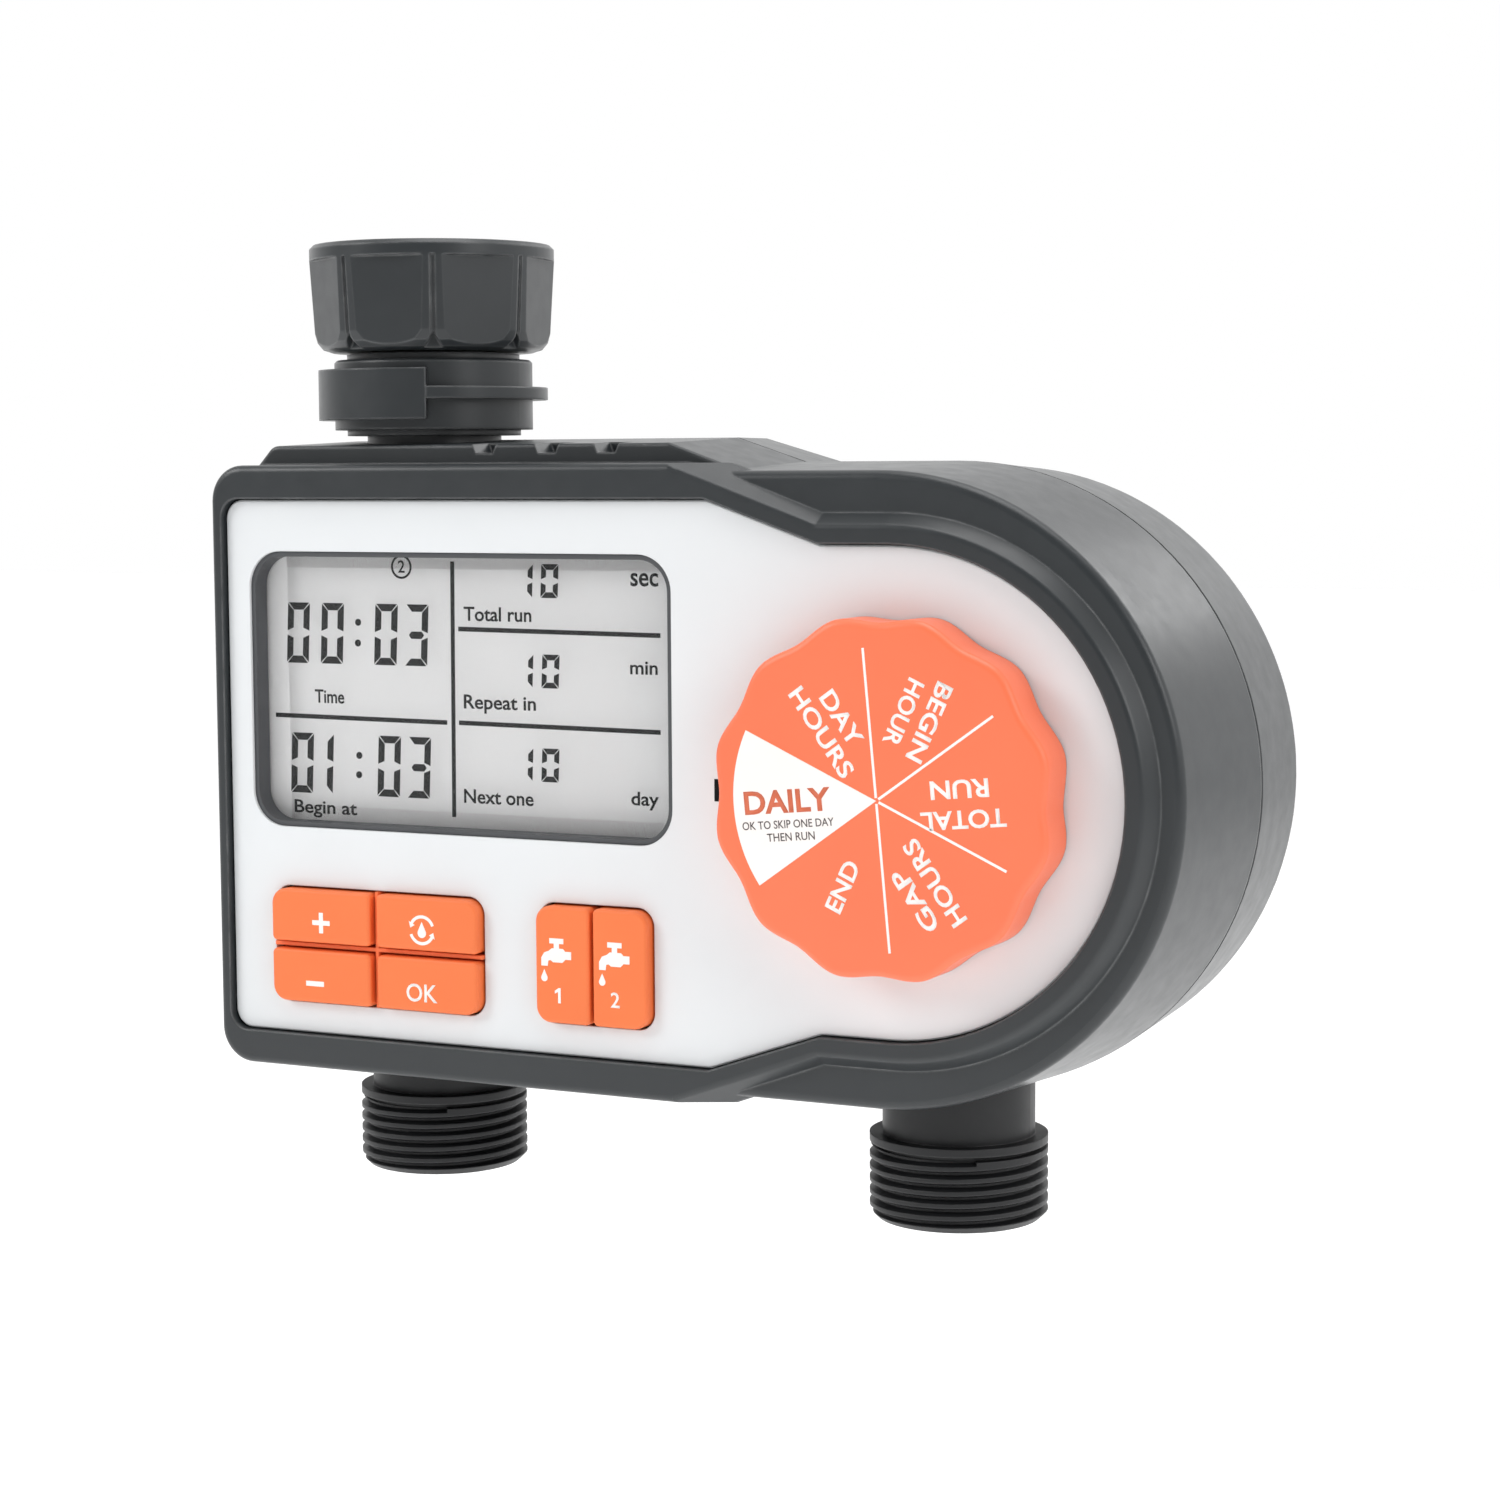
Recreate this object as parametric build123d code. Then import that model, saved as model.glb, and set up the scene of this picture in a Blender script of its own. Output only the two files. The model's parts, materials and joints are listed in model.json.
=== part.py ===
"""Two-outlet drip irrigation timer: a tap-mounted battery controller with two solenoid valves.

Millimetres. X runs to the right, Y runs backwards from the front panel, Z is up.
The parts are drawn about the pipe plane: X = 0 and Y = 0 on the inlet axis and Z = 0 at
the middle of the front panel. save() lifts them so that the origin is in the nut's mouth.
"""
from build123d import *
from math import atan2, cos, degrees, pi, radians, sin, sqrt
import os

# ---- connections: G 3/4 pipe thread, inlet above, two outlets below ----
THREAD_R = 13.22
THREAD_PITCH = 1.814
THREAD_DEPTH = 1.16
THREAD_OVERCUT = 0.6
THREAD_CHAMFER = 1.1
THREAD_RELIEF = 0.7
THREAD_HALF_ROOT = 0.08
THREAD_HALF_MOUTH = 0.46
OUTLET_SPACING = 89.2
OUTLET_END_Z = -64.6
OUTLET_NECK_R = 11.3
OUTLET_THREAD_LENGTH = 12.5
OUTLET_COLLAR_HEIGHT = 1.2
MOUTH_Z = 80.6
RIGHT_X = OUTLET_SPACING

# ---- case ----
WALL = 2.2
CASE_LEFT = -26.6
CASE_TOP = 46.6
CASE_BOTTOM = -46.7
CASE_CORNER_R = 5.5
CASE_BACK_Y = 28.0
SEAM_Y = 6.5
SEAM_GAP = 0.6
DRUM_X = 86.4
DRUM_FRONT_X = 84.9
DRUM_FRONT_Y = -20.7
DRUM_FRONT_R = 45.4
DRUM_SEAM_R = 46.7
DRUM_BACK_R = 45.7
DRUM_EDGE_R = 1.3
BACK_EDGE_R = 1.5
BRIDGE_LEFT = 53.5
BRIDGE_RIGHT = 61.5
HUMP_LEFT = -22.2
HUMP_SIDE = 2.8
HUMP_TOP = 49.4
HUMP_BACK_TOP = 50.4
HUMP_FRONT_Y = -16.5
HUMP_SLOPE_X = 50.2
HUMP_SLOPE_BACK_X = 45.0
HUMP_CORNER_R = 2.2
HUMP_EDGE_R = 0.5
NOTCH_LEFTS = (16.5, 27.3, 37.4)
NOTCH_WIDTH = 4.9
NOTCH_DEPTH = 1.2
NOTCH_LENGTH = 5.0

# ---- front panel, in a tray behind a raised rim ----
RIM_FRONT_Y = -23.2
RIM_R = 37.7
RIM_DRAFT = 3.3
RIM_TURN_X = 52.2
RIM_TURN_END_X = 76.9
RIM_EDGE_R = 1.0
PANEL_FRONT_Y = -22.0
PANEL_THICK = 1.8
PANEL_LEFT = -24.5
PANEL_HALF_HEIGHT = 41.3
PANEL_ARC_X = 87.7
PANEL_R = 35.0
PANEL_TURN_X = 59.2
PANEL_TURN_END_X = 77.1
PANEL_CORNER_R = 3.0
FLOOR_THICK = 1.6
FIT_GAP = 0.15

# ---- display ----
DISPLAY_LEFT = -20.3
DISPLAY_RIGHT = 53.3
DISPLAY_BOTTOM = -9.2
DISPLAY_TOP = 33.4
DISPLAY_CORNER_R = 5.5
DISPLAY_WALL = 0.8
LENS_THICK = 1.0
GLASS_THICK = 2.0
BOARD_FRONT_Y = -13.2
BOARD_THICK = 1.6

# ---- keys ----
KEYPAD_LEFT = -16.4
KEYPAD_RIGHT = 21.1
KEYPAD_BOTTOM = -36.4
KEYPAD_TOP = -18.5
TAP_PAD_LEFT = 30.8
TAP_PAD_RIGHT = 50.0
KEY_CORNER_R = 2.6
KEY_RISE = 1.8
KEY_CAP_THICK = 3.8
KEY_GAP = 0.3
KEY_EDGE_GAP = 0.2
KEY_EDGE_R = 0.5
KEY_INNER_R = 0.8
WEB_RISE = 0.5
WEB_RIB = 0.6
WEB_THICK = 0.8
PAD_FLANGE = 1.2
KEY_TRAVEL = 0.9
KEY_STEM_R = 2.0
DOME_R = 2.5
DOME_HEIGHT = 0.5

# ---- dial ----
DIAL_X = 89.2
DIAL_TIP_R = 25.7
DIAL_VALLEY_R = 24.6
DIAL_LOBES = 12
DIAL_HEIGHT = 7.6
DIAL_GAP = 0.4
SHAFT_R = 3.0
RUNNING_GAP = 0.05
SWITCH_R = 14.0
WIPER_R = 9.6

# ---- valves ----
PIPE_R = 9.5
PIPE_BORE_R = 6.0
FLANGE_HALF_Y = 9.8
FLANGE_HALF_Z = 15.0
FLANGE_X = 12.5
FLANGE_THICK = 3.0
SEAT_R = 4.2
SEAT_WIDTH = 1.1
CHAMBER_R = 8.0
DIAPHRAGM_R = 9.2
DIAPHRAGM_THICK = 1.4
BONNET_THICK = 4.0
GUIDE_R = 4.2
GUIDE_BORE_R = 3.1
GUIDE_LENGTH = 24.0
PLUNGER_LENGTH = 12.0
PLUNGER_START = 3.4
SPRING_WIRE_R = 0.25
SPRING_R = 2.3
COIL_R = 8.4
COIL_LENGTH = 17.0
COIL_START = 4.0
YOKE_THICK = 1.5
SCREW_R = 1.25
CROSS_PIPE_Z = 30.0
CROSS_PIPE_R = 6.0
CROSS_PIPE_BORE_R = 4.2
PIPE_TOP_Z = 47.4
SPIGOT_R = 7.4
SPIGOT_DEPTH = 8.0

# ---- inlet ----
NUT_R = 19.1
NUT_LIP = 2.4
NUT_HEIGHT = 16.6
NUT_FACETS = 8
NUT_FACET_R = 18.15
NUT_TAPER = 0.7
NUT_TURN = -58.0
NUT_RIB_GROOVE = 0.35
NUT_THREAD_LENGTH = 9.0
NUT_LEAD_R = 13.42
NUT_LEAD_DEPTH = 1.5
COLLAR_R = 15.5
COLLAR_BOTTOM_Z = 52.0
COLLAR_TOP_Z = 62.8
CLAMP_R = 18.0
TAILPIECE_R = 10.5
TAILPIECE_BORE_R = 6.0
FLANGE_R = 12.6
STEM_R = 9.8

# ---- battery compartment ----
WELL_R = 34.5
WELL_WALL_THICK = 1.8
WELL_FLOOR_Y = 10.2
WELL_FLOOR_THICK = 1.5
CELL_R = 7.1
CELL_LENGTH = 49.5
CELL_GAP = 0.8
COVER_R = 38.3
COVER_GAP = 0.3
COVER_THICK = 2.0
SKIRT_THICK = 1.6
LUG_RISE = 1.6
LUG_THICK = 1.6
LUG_ARC = 24.0
COVER_TURN = 45.0
SCREW_RING_R = 41.3
SCREW_RING_ANGLES = (58, 0, -58)
BOSS_R = 2.4
BOX_BOSS_R = 3.4
POST_R = 2.2
BOX_BOSS_X = (-20.6, 38.0)
WIRE_R = 0.6
WIRE_BEND = 2.0


# ---------------------------------------------------------------- helpers
def slab(sketch, front, back):
    """A sketch drawn with X and Z as its axes, made solid between two Y values."""
    return extrude(Plane.XZ.offset(-back) * sketch, amount=back - front)


def disc(x, z, r, front, back):
    """A round bar along Y."""
    return slab(Pos(x, z) * Circle(r), front, back)


def cone_y(x, z, front_r, back_r, front, back):
    """A tapered round bar along Y."""
    bar = Cone(front_r, back_r, back - front, align=(Align.CENTER, Align.CENTER, Align.MIN))
    return Pos(x, front, z) * Rot(-90, 0, 0) * bar


def ring_y(x, z, outer, inner, front, back):
    """A ring about a Y axis."""
    return disc(x, z, outer, front, back) - disc(x, z, inner, front - 1, back + 1)


def bar_z(x, y, r, low, high):
    """An upright round bar."""
    bar = Cylinder(r, high - low, align=(Align.CENTER, Align.CENTER, Align.MIN))
    return Pos(x, y, low) * bar


def cone_z(low_r, high_r, low, high):
    """An upright tapered bar on the inlet axis."""
    bar = Cone(low_r, high_r, high - low, align=(Align.CENTER, Align.CENTER, Align.MIN))
    return Pos(0, 0, low) * bar


def ring_z(x, y, outer, inner, low, high):
    """An upright ring."""
    return bar_z(x, y, outer, low, high) - bar_z(x, y, inner, low - 1, high + 1)


def bar_x(start, end, z, r):
    """A round bar along X in the pipe plane."""
    bar = Cylinder(r, abs(end - start))
    return Pos((start + end) / 2, 0, z) * Rot(0, 90, 0) * bar


def box(x0, x1, y0, y1, z0, z1):
    """A box between two corners."""
    return Pos((x0 + x1) / 2, (y0 + y1) / 2, (z0 + z1) / 2) * Box(x1 - x0, y1 - y0, z1 - z0)


def round_plate(x0, x1, z0, z1, corner, front, back):
    """A plate with rounded corners that lies in the XZ plane."""
    face = RectangleRounded(x1 - x0, z1 - z0, corner)
    return slab(Pos((x0 + x1) / 2, (z0 + z1) / 2) * face, front, back)


def front_edges(solid, y):
    """The edges that lie wholly at one Y value."""
    return solid.edges().filter_by_position(Axis.Y, y - 0.01, y + 0.01)


def polar(r, angle, x=0.0, z=0.0):
    """A point in the XZ plane, by radius and angle about (x, z)."""
    return x + r * cos(radians(angle)), z + r * sin(radians(angle))


def save(name, shape):
    """Write one node, with the origin moved to the nut's mouth."""
    export_step(Pos(0, 0, -MOUTH_Z) * shape, f"parts/{name}.step")


# ---------------------------------------------------------------- case outlines
def along_case(y, front, seam, back):
    """A value that changes evenly from the case's front to its seam, and on to its back."""
    if y < SEAM_Y:
        return front + (seam - front) * (y - DRUM_FRONT_Y) / (SEAM_Y - DRUM_FRONT_Y)
    return seam + (back - seam) * (y - SEAM_Y) / (CASE_BACK_Y - SEAM_Y)


def case_outline(inset, y, raised):
    """Outline of the case across Y: a box on the left, with or without its hump, and a drum."""
    drum_r = along_case(y, DRUM_FRONT_R, DRUM_SEAM_R, DRUM_BACK_R) - inset
    drum_x = along_case(y, DRUM_FRONT_X, DRUM_X, DRUM_X)
    left = CASE_LEFT + inset
    low = CASE_BOTTOM + inset
    high = CASE_TOP - inset
    hump_top = along_case(y, HUMP_TOP, HUMP_BACK_TOP, HUMP_BACK_TOP) - inset
    hump_left = HUMP_LEFT + inset
    hump_corner = (hump_left + HUMP_SIDE, hump_top)
    if raised:
        slope_x = along_case(y, HUMP_SLOPE_X, HUMP_SLOPE_X, HUMP_SLOPE_BACK_X)
        top = [
            (BRIDGE_RIGHT, drum_r),
            (slope_x, hump_top),
            hump_corner,
            (hump_left, high),
            (left, high),
        ]
    else:
        top = [(BRIDGE_RIGHT, drum_r), (BRIDGE_LEFT, high), (left, high)]
    points = [(left, low), (BRIDGE_LEFT, low), (BRIDGE_RIGHT, -drum_r), (drum_x, -drum_r)]
    end = (drum_x, drum_r)
    lines = Polyline(*points) + RadiusArc(points[-1], end, -drum_r) + Polyline(end, *top, points[0])
    face = make_face(lines)
    corner_r = CASE_CORNER_R - inset
    face = fillet(face.vertices().sort_by_distance((left, low, 0))[0], corner_r)
    if raised:
        face = fillet(face.vertices().sort_by_distance((*hump_corner, 0))[0], HUMP_CORNER_R)
        corner_r = min(HUMP_LEFT - CASE_LEFT - 0.3, corner_r)
    return fillet(face.vertices().sort_by_distance((left, high, 0))[0], corner_r)


def layer(inset, front, back, raised):
    """One drafted slice of the case."""
    faces = [Plane.XZ.offset(-y) * case_outline(inset, y, raised) for y in (front, back)]
    return loft(faces, ruled=True)


def block(inset, front, back):
    """The outer form of the case between two Y values, drawn in by inset."""
    hump_front = HUMP_FRONT_Y + inset
    stops = [y for y in (hump_front, SEAM_Y) if front < y < back]
    stations = [front, *stops, back]
    solid = None
    for low, high in zip(stations, stations[1:]):
        piece = layer(inset, low, high, low >= hump_front)
        solid = piece if solid is None else solid + piece
    return solid


def rim_outline(grow):
    """The rim's outline, grown outwards: a box, slanted shoulders and a round right end."""
    arc_r = RIM_R + grow
    shoulder = atan2(CASE_TOP - RIM_R, RIM_TURN_END_X - RIM_TURN_X)
    turn_x = RIM_TURN_X + grow / sin(shoulder)
    points = [
        (PANEL_ARC_X, arc_r),
        (RIM_TURN_END_X, arc_r),
        (turn_x, CASE_TOP),
        (CASE_LEFT, CASE_TOP),
        (CASE_LEFT, CASE_BOTTOM),
        (turn_x, CASE_BOTTOM),
        (RIM_TURN_END_X, -arc_r),
        (PANEL_ARC_X, -arc_r),
    ]
    face = make_face(Polyline(*points) + RadiusArc(points[-1], points[0], -arc_r))
    return fillet(face.vertices().group_by(Axis.X)[0], CASE_CORNER_R)


def panel_outline(grow):
    """The white panel's outline."""
    left = PANEL_LEFT - grow
    high = PANEL_HALF_HEIGHT + grow
    arc_r = PANEL_R + grow
    face = Polygon(
        (left, -high),
        (PANEL_TURN_X, -high),
        (PANEL_TURN_END_X, -arc_r),
        (PANEL_ARC_X, -arc_r),
        (PANEL_ARC_X, arc_r),
        (PANEL_TURN_END_X, arc_r),
        (PANEL_TURN_X, high),
        (left, high),
        align=None,
    )
    face = fillet(face.vertices().group_by(Axis.X)[0], PANEL_CORNER_R)
    return face + Pos(PANEL_ARC_X, 0) * Circle(arc_r)


# ---------------------------------------------------------------- shared places
PANEL_BACK_Y = PANEL_FRONT_Y + PANEL_THICK
CAVITY_FRONT_Y = PANEL_BACK_Y + FLOOR_THICK
LENS_BACK_Y = CAVITY_FRONT_Y + LENS_THICK
GLASS_BACK_Y = LENS_BACK_Y + GLASS_THICK
BOARD_BACK_Y = BOARD_FRONT_Y + BOARD_THICK
DIAL_BACK_Y = PANEL_FRONT_Y - DIAL_GAP
DIAL_FRONT_Y = DIAL_BACK_Y - DIAL_HEIGHT
KEY_FRONT_Y = PANEL_FRONT_Y - KEY_RISE
WELL_INNER_Y = WELL_FLOOR_Y + WELL_FLOOR_THICK
COVER_FRONT_Y = CASE_BACK_Y - COVER_THICK
NECK_TOP_Z = CASE_BOTTOM + WALL + 2
SHELL_FRONT_END = SEAM_Y - SEAM_GAP / 2
SHELL_BACK_START = SEAM_Y + SEAM_GAP / 2
SCREW_HEAD_Y = CASE_BACK_Y - 2.4
SEAL_IN_R = WELL_R + 1.5
SEAL_OUT_R = WELL_R + 3.1
SEAL_DEPTH = 1.0
LUG_BACK_Y = CASE_BACK_Y - 5.6
LUG_FRONT_Y = LUG_BACK_Y - LUG_THICK
LUG_R = WELL_R + LUG_RISE
KEY_CAP_BACK_Y = KEY_FRONT_Y + KEY_CAP_THICK
STEM_END_Y = BOARD_FRONT_Y - DOME_HEIGHT - KEY_TRAVEL - 0.1
NUT_BOTTOM_Z = MOUTH_Z - NUT_HEIGHT
SHOULDER_TOP_Z = NUT_BOTTOM_Z - 0.3
FLANGE_LOW_Z = NUT_BOTTOM_Z + 3.0
FLANGE_TOP_Z = FLANGE_LOW_Z + 2.0
CELL_Y = WELL_INNER_Y + CELL_GAP / 2 + CELL_R


def boss_places():
    """Screw positions: four in the box and the rest round the battery well."""
    places = []
    for x in BOX_BOSS_X:
        places.append((x, CASE_TOP - WALL - BOX_BOSS_R + 0.4, BOX_BOSS_R))
        places.append((x, CASE_BOTTOM + WALL + BOX_BOSS_R - 0.4, BOX_BOSS_R))
    for angle in SCREW_RING_ANGLES:
        places.append((*polar(SCREW_RING_R, angle, DRUM_X), BOSS_R))
    return places


def pipe_holes(shell):
    """Cut the holes for the inlet above and the two outlets below."""
    shell -= bar_z(0, 0, TAILPIECE_R + FIT_GAP, 30, HUMP_TOP + 5)
    for x in (0, RIGHT_X):
        shell -= bar_z(x, 0, OUTLET_NECK_R + FIT_GAP, CASE_BOTTOM - 5, NECK_TOP_Z + FIT_GAP)
    return shell


# ---------------------------------------------------------------- shells
def notch(left):
    """A shallow tapered cut in the hump's front edge."""
    bottom = HUMP_TOP - NOTCH_DEPTH
    side = NOTCH_DEPTH * 0.8
    profile = Polygon(
        (left, HUMP_TOP + 1),
        (left + side, bottom),
        (left + NOTCH_WIDTH - side, bottom),
        (left + NOTCH_WIDTH, HUMP_TOP + 1),
        align=None,
    )
    return slab(profile, HUMP_FRONT_Y - 1, HUMP_FRONT_Y + NOTCH_LENGTH)


def rim():
    """The raised rim, a little wider at its base than at its front."""
    outlines = ((RIM_FRONT_Y, 0), (CAVITY_FRONT_Y, RIM_DRAFT))
    form = loft([Plane.XZ.offset(-y) * rim_outline(grow) for y, grow in outlines], ruled=True)
    return fillet(front_edges(form, RIM_FRONT_Y), RIM_EDGE_R)


def hump_edges(solid):
    """The upper edges of the hump's front face."""
    edges = front_edges(solid, HUMP_FRONT_Y)
    return edges.filter_by(lambda edge: edge.center().Z > CASE_TOP + 0.4)


def front_form():
    """The outside of the front shell, solid, with its soft edges."""
    solid = block(0, DRUM_FRONT_Y, SHELL_FRONT_END)
    solid = fillet(hump_edges(solid), HUMP_EDGE_R)
    solid = fillet(front_edges(solid, DRUM_FRONT_Y), DRUM_EDGE_R)
    return solid + rim()


def front_shell():
    """Front half of the case: rim, panel tray, drum face and side walls."""
    shell = front_form()
    shell -= block(WALL, CAVITY_FRONT_Y, SHELL_FRONT_END + 1)
    for left in NOTCH_LEFTS:
        shell -= notch(left)
    shell -= slab(panel_outline(FIT_GAP), RIM_FRONT_Y - 1, PANEL_BACK_Y)
    shell -= display_opening(FIT_GAP)
    shell -= pad_opening(KEYPAD_LEFT, KEYPAD_RIGHT)
    shell -= pad_opening(TAP_PAD_LEFT, TAP_PAD_RIGHT)
    for x, z, r in boss_places():
        shell += disc(x, z, r, CAVITY_FRONT_Y - 0.5, SHELL_FRONT_END)
        shell -= disc(x, z, SCREW_R + RUNNING_GAP, -4, SHELL_FRONT_END + 1)
    for x, z in board_holes():
        shell += disc(x, z, POST_R, CAVITY_FRONT_Y - 0.5, BOARD_FRONT_Y)
        shell -= disc(x, z, SCREW_R + RUNNING_GAP, CAVITY_FRONT_Y + 0.4, BOARD_FRONT_Y + 1)
    shell += disc(DIAL_X, 0, SHAFT_R + 2.4, CAVITY_FRONT_Y - 0.5, CAVITY_FRONT_Y + 0.9)
    shell -= disc(DIAL_X, 0, SHAFT_R + RUNNING_GAP, RIM_FRONT_Y, 0)
    shell -= disc(DIAL_X, 0, SHAFT_R + 1.2, RIM_FRONT_Y, CAVITY_FRONT_Y - 0.3)
    return pipe_holes(shell)


def display_opening(grow):
    """The opening through panel and shell that the display is seen through."""
    return round_plate(
        DISPLAY_LEFT - grow,
        DISPLAY_RIGHT + grow,
        DISPLAY_BOTTOM - grow,
        DISPLAY_TOP + grow,
        DISPLAY_CORNER_R + grow,
        RIM_FRONT_Y,
        CAVITY_FRONT_Y + 1,
    )


def pad_opening(left, right):
    """The opening through panel and shell for one key web."""
    return round_plate(
        left - FIT_GAP,
        right + FIT_GAP,
        KEYPAD_BOTTOM - FIT_GAP,
        KEYPAD_TOP + FIT_GAP,
        KEY_CORNER_R + FIT_GAP,
        RIM_FRONT_Y,
        CAVITY_FRONT_Y + 1,
    )


def rear_shell():
    """Rear half of the case, with the battery well and its bayonet groove."""
    shell = block(0, SHELL_BACK_START, CASE_BACK_Y)
    shell = fillet(front_edges(shell, CASE_BACK_Y), BACK_EDGE_R)
    shell -= block(WALL, SHELL_BACK_START - 1, CASE_BACK_Y - WALL)
    well_wall_r = COVER_R + COVER_GAP + WELL_WALL_THICK
    shell += disc(DRUM_X, 0, well_wall_r, WELL_FLOOR_Y, CASE_BACK_Y - WALL / 2)
    for x, z, r in boss_places():
        shell += disc(x, z, r, SHELL_BACK_START, CASE_BACK_Y - WALL / 2)
    shell -= disc(DRUM_X, 0, WELL_R, WELL_INNER_Y, CASE_BACK_Y + 1)
    shell -= disc(DRUM_X, 0, COVER_R + COVER_GAP, COVER_FRONT_Y - COVER_GAP, CASE_BACK_Y + 1)
    shell -= bayonet_groove()
    shell -= seal_groove()
    for x, z, _ in boss_places():
        shell -= disc(x, z, SCREW_R + RUNNING_GAP, SHELL_BACK_START - 1, CASE_BACK_Y + 1)
        shell -= disc(x, z, SCREW_R + 0.95, SCREW_HEAD_Y, CASE_BACK_Y + 1)
    return pipe_holes(shell)


def sector(r, start, arc, front, back):
    """A wedge of a disc about the drum's axis."""
    steps = 6
    points = [(DRUM_X, 0)]
    for k in range(steps + 1):
        points.append(polar(2 * r, start + arc * k / steps, DRUM_X))
    return disc(DRUM_X, 0, r, front, back) & slab(Polygon(*points, align=None), front, back)


def bayonet_groove():
    """An inner groove that the cover's lugs turn in, and the slots they enter by."""
    gap = COVER_GAP + 0.1
    low = LUG_FRONT_Y - gap
    groove = ring_y(DRUM_X, 0, LUG_R + gap, WELL_R - 1, low, LUG_BACK_Y + gap)
    for k in range(3):
        start = 120 * k + COVER_TURN - LUG_ARC / 2 - 2
        groove += sector(LUG_R + gap, start, LUG_ARC + 4, low, CASE_BACK_Y - COVER_THICK - 0.1)
    return groove


def seal_groove():
    """A groove under the battery cover's rim."""
    floor_y = COVER_FRONT_Y - COVER_GAP
    return ring_y(DRUM_X, 0, SEAL_OUT_R, SEAL_IN_R, floor_y - SEAL_DEPTH, floor_y + 1)


def battery_seal():
    """Rubber ring in the groove under the cover."""
    floor_y = COVER_FRONT_Y - COVER_GAP
    outer = SEAL_OUT_R - 0.1
    inner = SEAL_IN_R + 0.1
    return ring_y(DRUM_X, 0, outer, inner, floor_y - SEAL_DEPTH, COVER_FRONT_Y - 0.05)


def shell_seal():
    """Gasket in the seam between the two shells."""
    solid = block(0.45, SHELL_FRONT_END, SHELL_BACK_START)
    solid -= block(WALL, SHELL_FRONT_END - 1, SHELL_BACK_START + 1)
    return pipe_holes(solid)


def case_screws():
    """Self-tapping screws, put in from the back."""
    screws = []
    for x, z, _ in boss_places():
        screw = disc(x, z, SCREW_R, -2, SCREW_HEAD_Y)
        screw += disc(x, z, SCREW_R + 0.85, SCREW_HEAD_Y, SCREW_HEAD_Y + 1.5)
        screw -= disc(x, z, 0.9, SCREW_HEAD_Y + 0.6, SCREW_HEAD_Y + 2)
        screws.append(screw)
    return Compound(screws)


# ---------------------------------------------------------------- panel, display, keys
def front_panel():
    """White panel with openings for the display, keys and dial shaft."""
    panel = slab(panel_outline(0), PANEL_FRONT_Y, PANEL_BACK_Y)
    panel = chamfer(front_edges(panel, PANEL_FRONT_Y), 0.25)
    panel -= display_opening(0)
    panel -= pad_opening(KEYPAD_LEFT, KEYPAD_RIGHT)
    panel -= pad_opening(TAP_PAD_LEFT, TAP_PAD_RIGHT)
    panel -= disc(DIAL_X, 0, SHAFT_R + 4, RIM_FRONT_Y, 0)
    return panel


def lcd_frame():
    """Dark frame that lines the display opening."""
    outer = round_plate(
        DISPLAY_LEFT + 0.05, DISPLAY_RIGHT - 0.05, DISPLAY_BOTTOM + 0.05, DISPLAY_TOP - 0.05,
        DISPLAY_CORNER_R - 0.05, PANEL_FRONT_Y + 0.4, CAVITY_FRONT_Y,
    )
    inner = round_plate(
        DISPLAY_LEFT + DISPLAY_WALL, DISPLAY_RIGHT - DISPLAY_WALL,
        DISPLAY_BOTTOM + DISPLAY_WALL, DISPLAY_TOP - DISPLAY_WALL,
        DISPLAY_CORNER_R - DISPLAY_WALL, RIM_FRONT_Y, CAVITY_FRONT_Y + 1,
    )
    return outer - inner


def lcd_lens():
    """Clear plate behind the opening."""
    return round_plate(
        DISPLAY_LEFT - 1.5, DISPLAY_RIGHT + 1.5, DISPLAY_BOTTOM - 1.5, DISPLAY_TOP + 1.5,
        DISPLAY_CORNER_R, CAVITY_FRONT_Y, LENS_BACK_Y,
    )


def lcd_glass():
    """The display cell."""
    return box(
        DISPLAY_LEFT - 0.5, DISPLAY_RIGHT + 0.5, LENS_BACK_Y, GLASS_BACK_Y,
        DISPLAY_BOTTOM - 1, DISPLAY_TOP + 1,
    )


def lcd_connectors():
    """Two rubber contact strips between display and circuit board."""
    strips = []
    for z in (DISPLAY_BOTTOM + 1.5, DISPLAY_TOP - 1.5):
        strips.append(
            box(DISPLAY_LEFT + 2, DISPLAY_RIGHT - 2, GLASS_BACK_Y, BOARD_FRONT_Y, z - 1.2, z + 1.2)
        )
    return Compound(strips)


def key_cells(left, right, columns, rows, rib):
    """Corner coordinates of each key's space on a pad, with a rib between spaces."""
    cells = []
    width = (right - left - (columns - 1) * rib) / columns
    height = (KEYPAD_TOP - KEYPAD_BOTTOM - (rows - 1) * rib) / rows
    for row in range(rows):
        for column in range(columns):
            x0 = left + column * (width + rib)
            z1 = KEYPAD_TOP - row * (height + rib)
            cells.append((x0, x0 + width, z1 - height, z1))
    return cells


def cell_centre(cell):
    """Middle of one key."""
    return (cell[0] + cell[1]) / 2, (cell[2] + cell[3]) / 2


LEFT_CELLS = key_cells(KEYPAD_LEFT, KEYPAD_RIGHT, 2, 2, WEB_RIB)
TAP_CELLS = key_cells(TAP_PAD_LEFT, TAP_PAD_RIGHT, 2, 1, 0)
LEFT_KEYS = ("key_plus", "key_manual", "key_minus", "key_ok")
TAP_KEYS = ("key_tap_1", "key_tap_2")


def web(left, right, cells):
    """Rubber sheet behind one pad's keys, with holes for their stems."""
    sheet = round_plate(
        left - PAD_FLANGE,
        right + PAD_FLANGE,
        KEYPAD_BOTTOM - PAD_FLANGE,
        KEYPAD_TOP + PAD_FLANGE,
        KEY_CORNER_R + PAD_FLANGE,
        CAVITY_FRONT_Y,
        CAVITY_FRONT_Y + WEB_THICK,
    )
    for cell in cells:
        x, z = cell_centre(cell)
        sheet -= disc(x, z, KEY_STEM_R + 0.4, RIM_FRONT_Y, BOARD_FRONT_Y)
    return sheet


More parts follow.
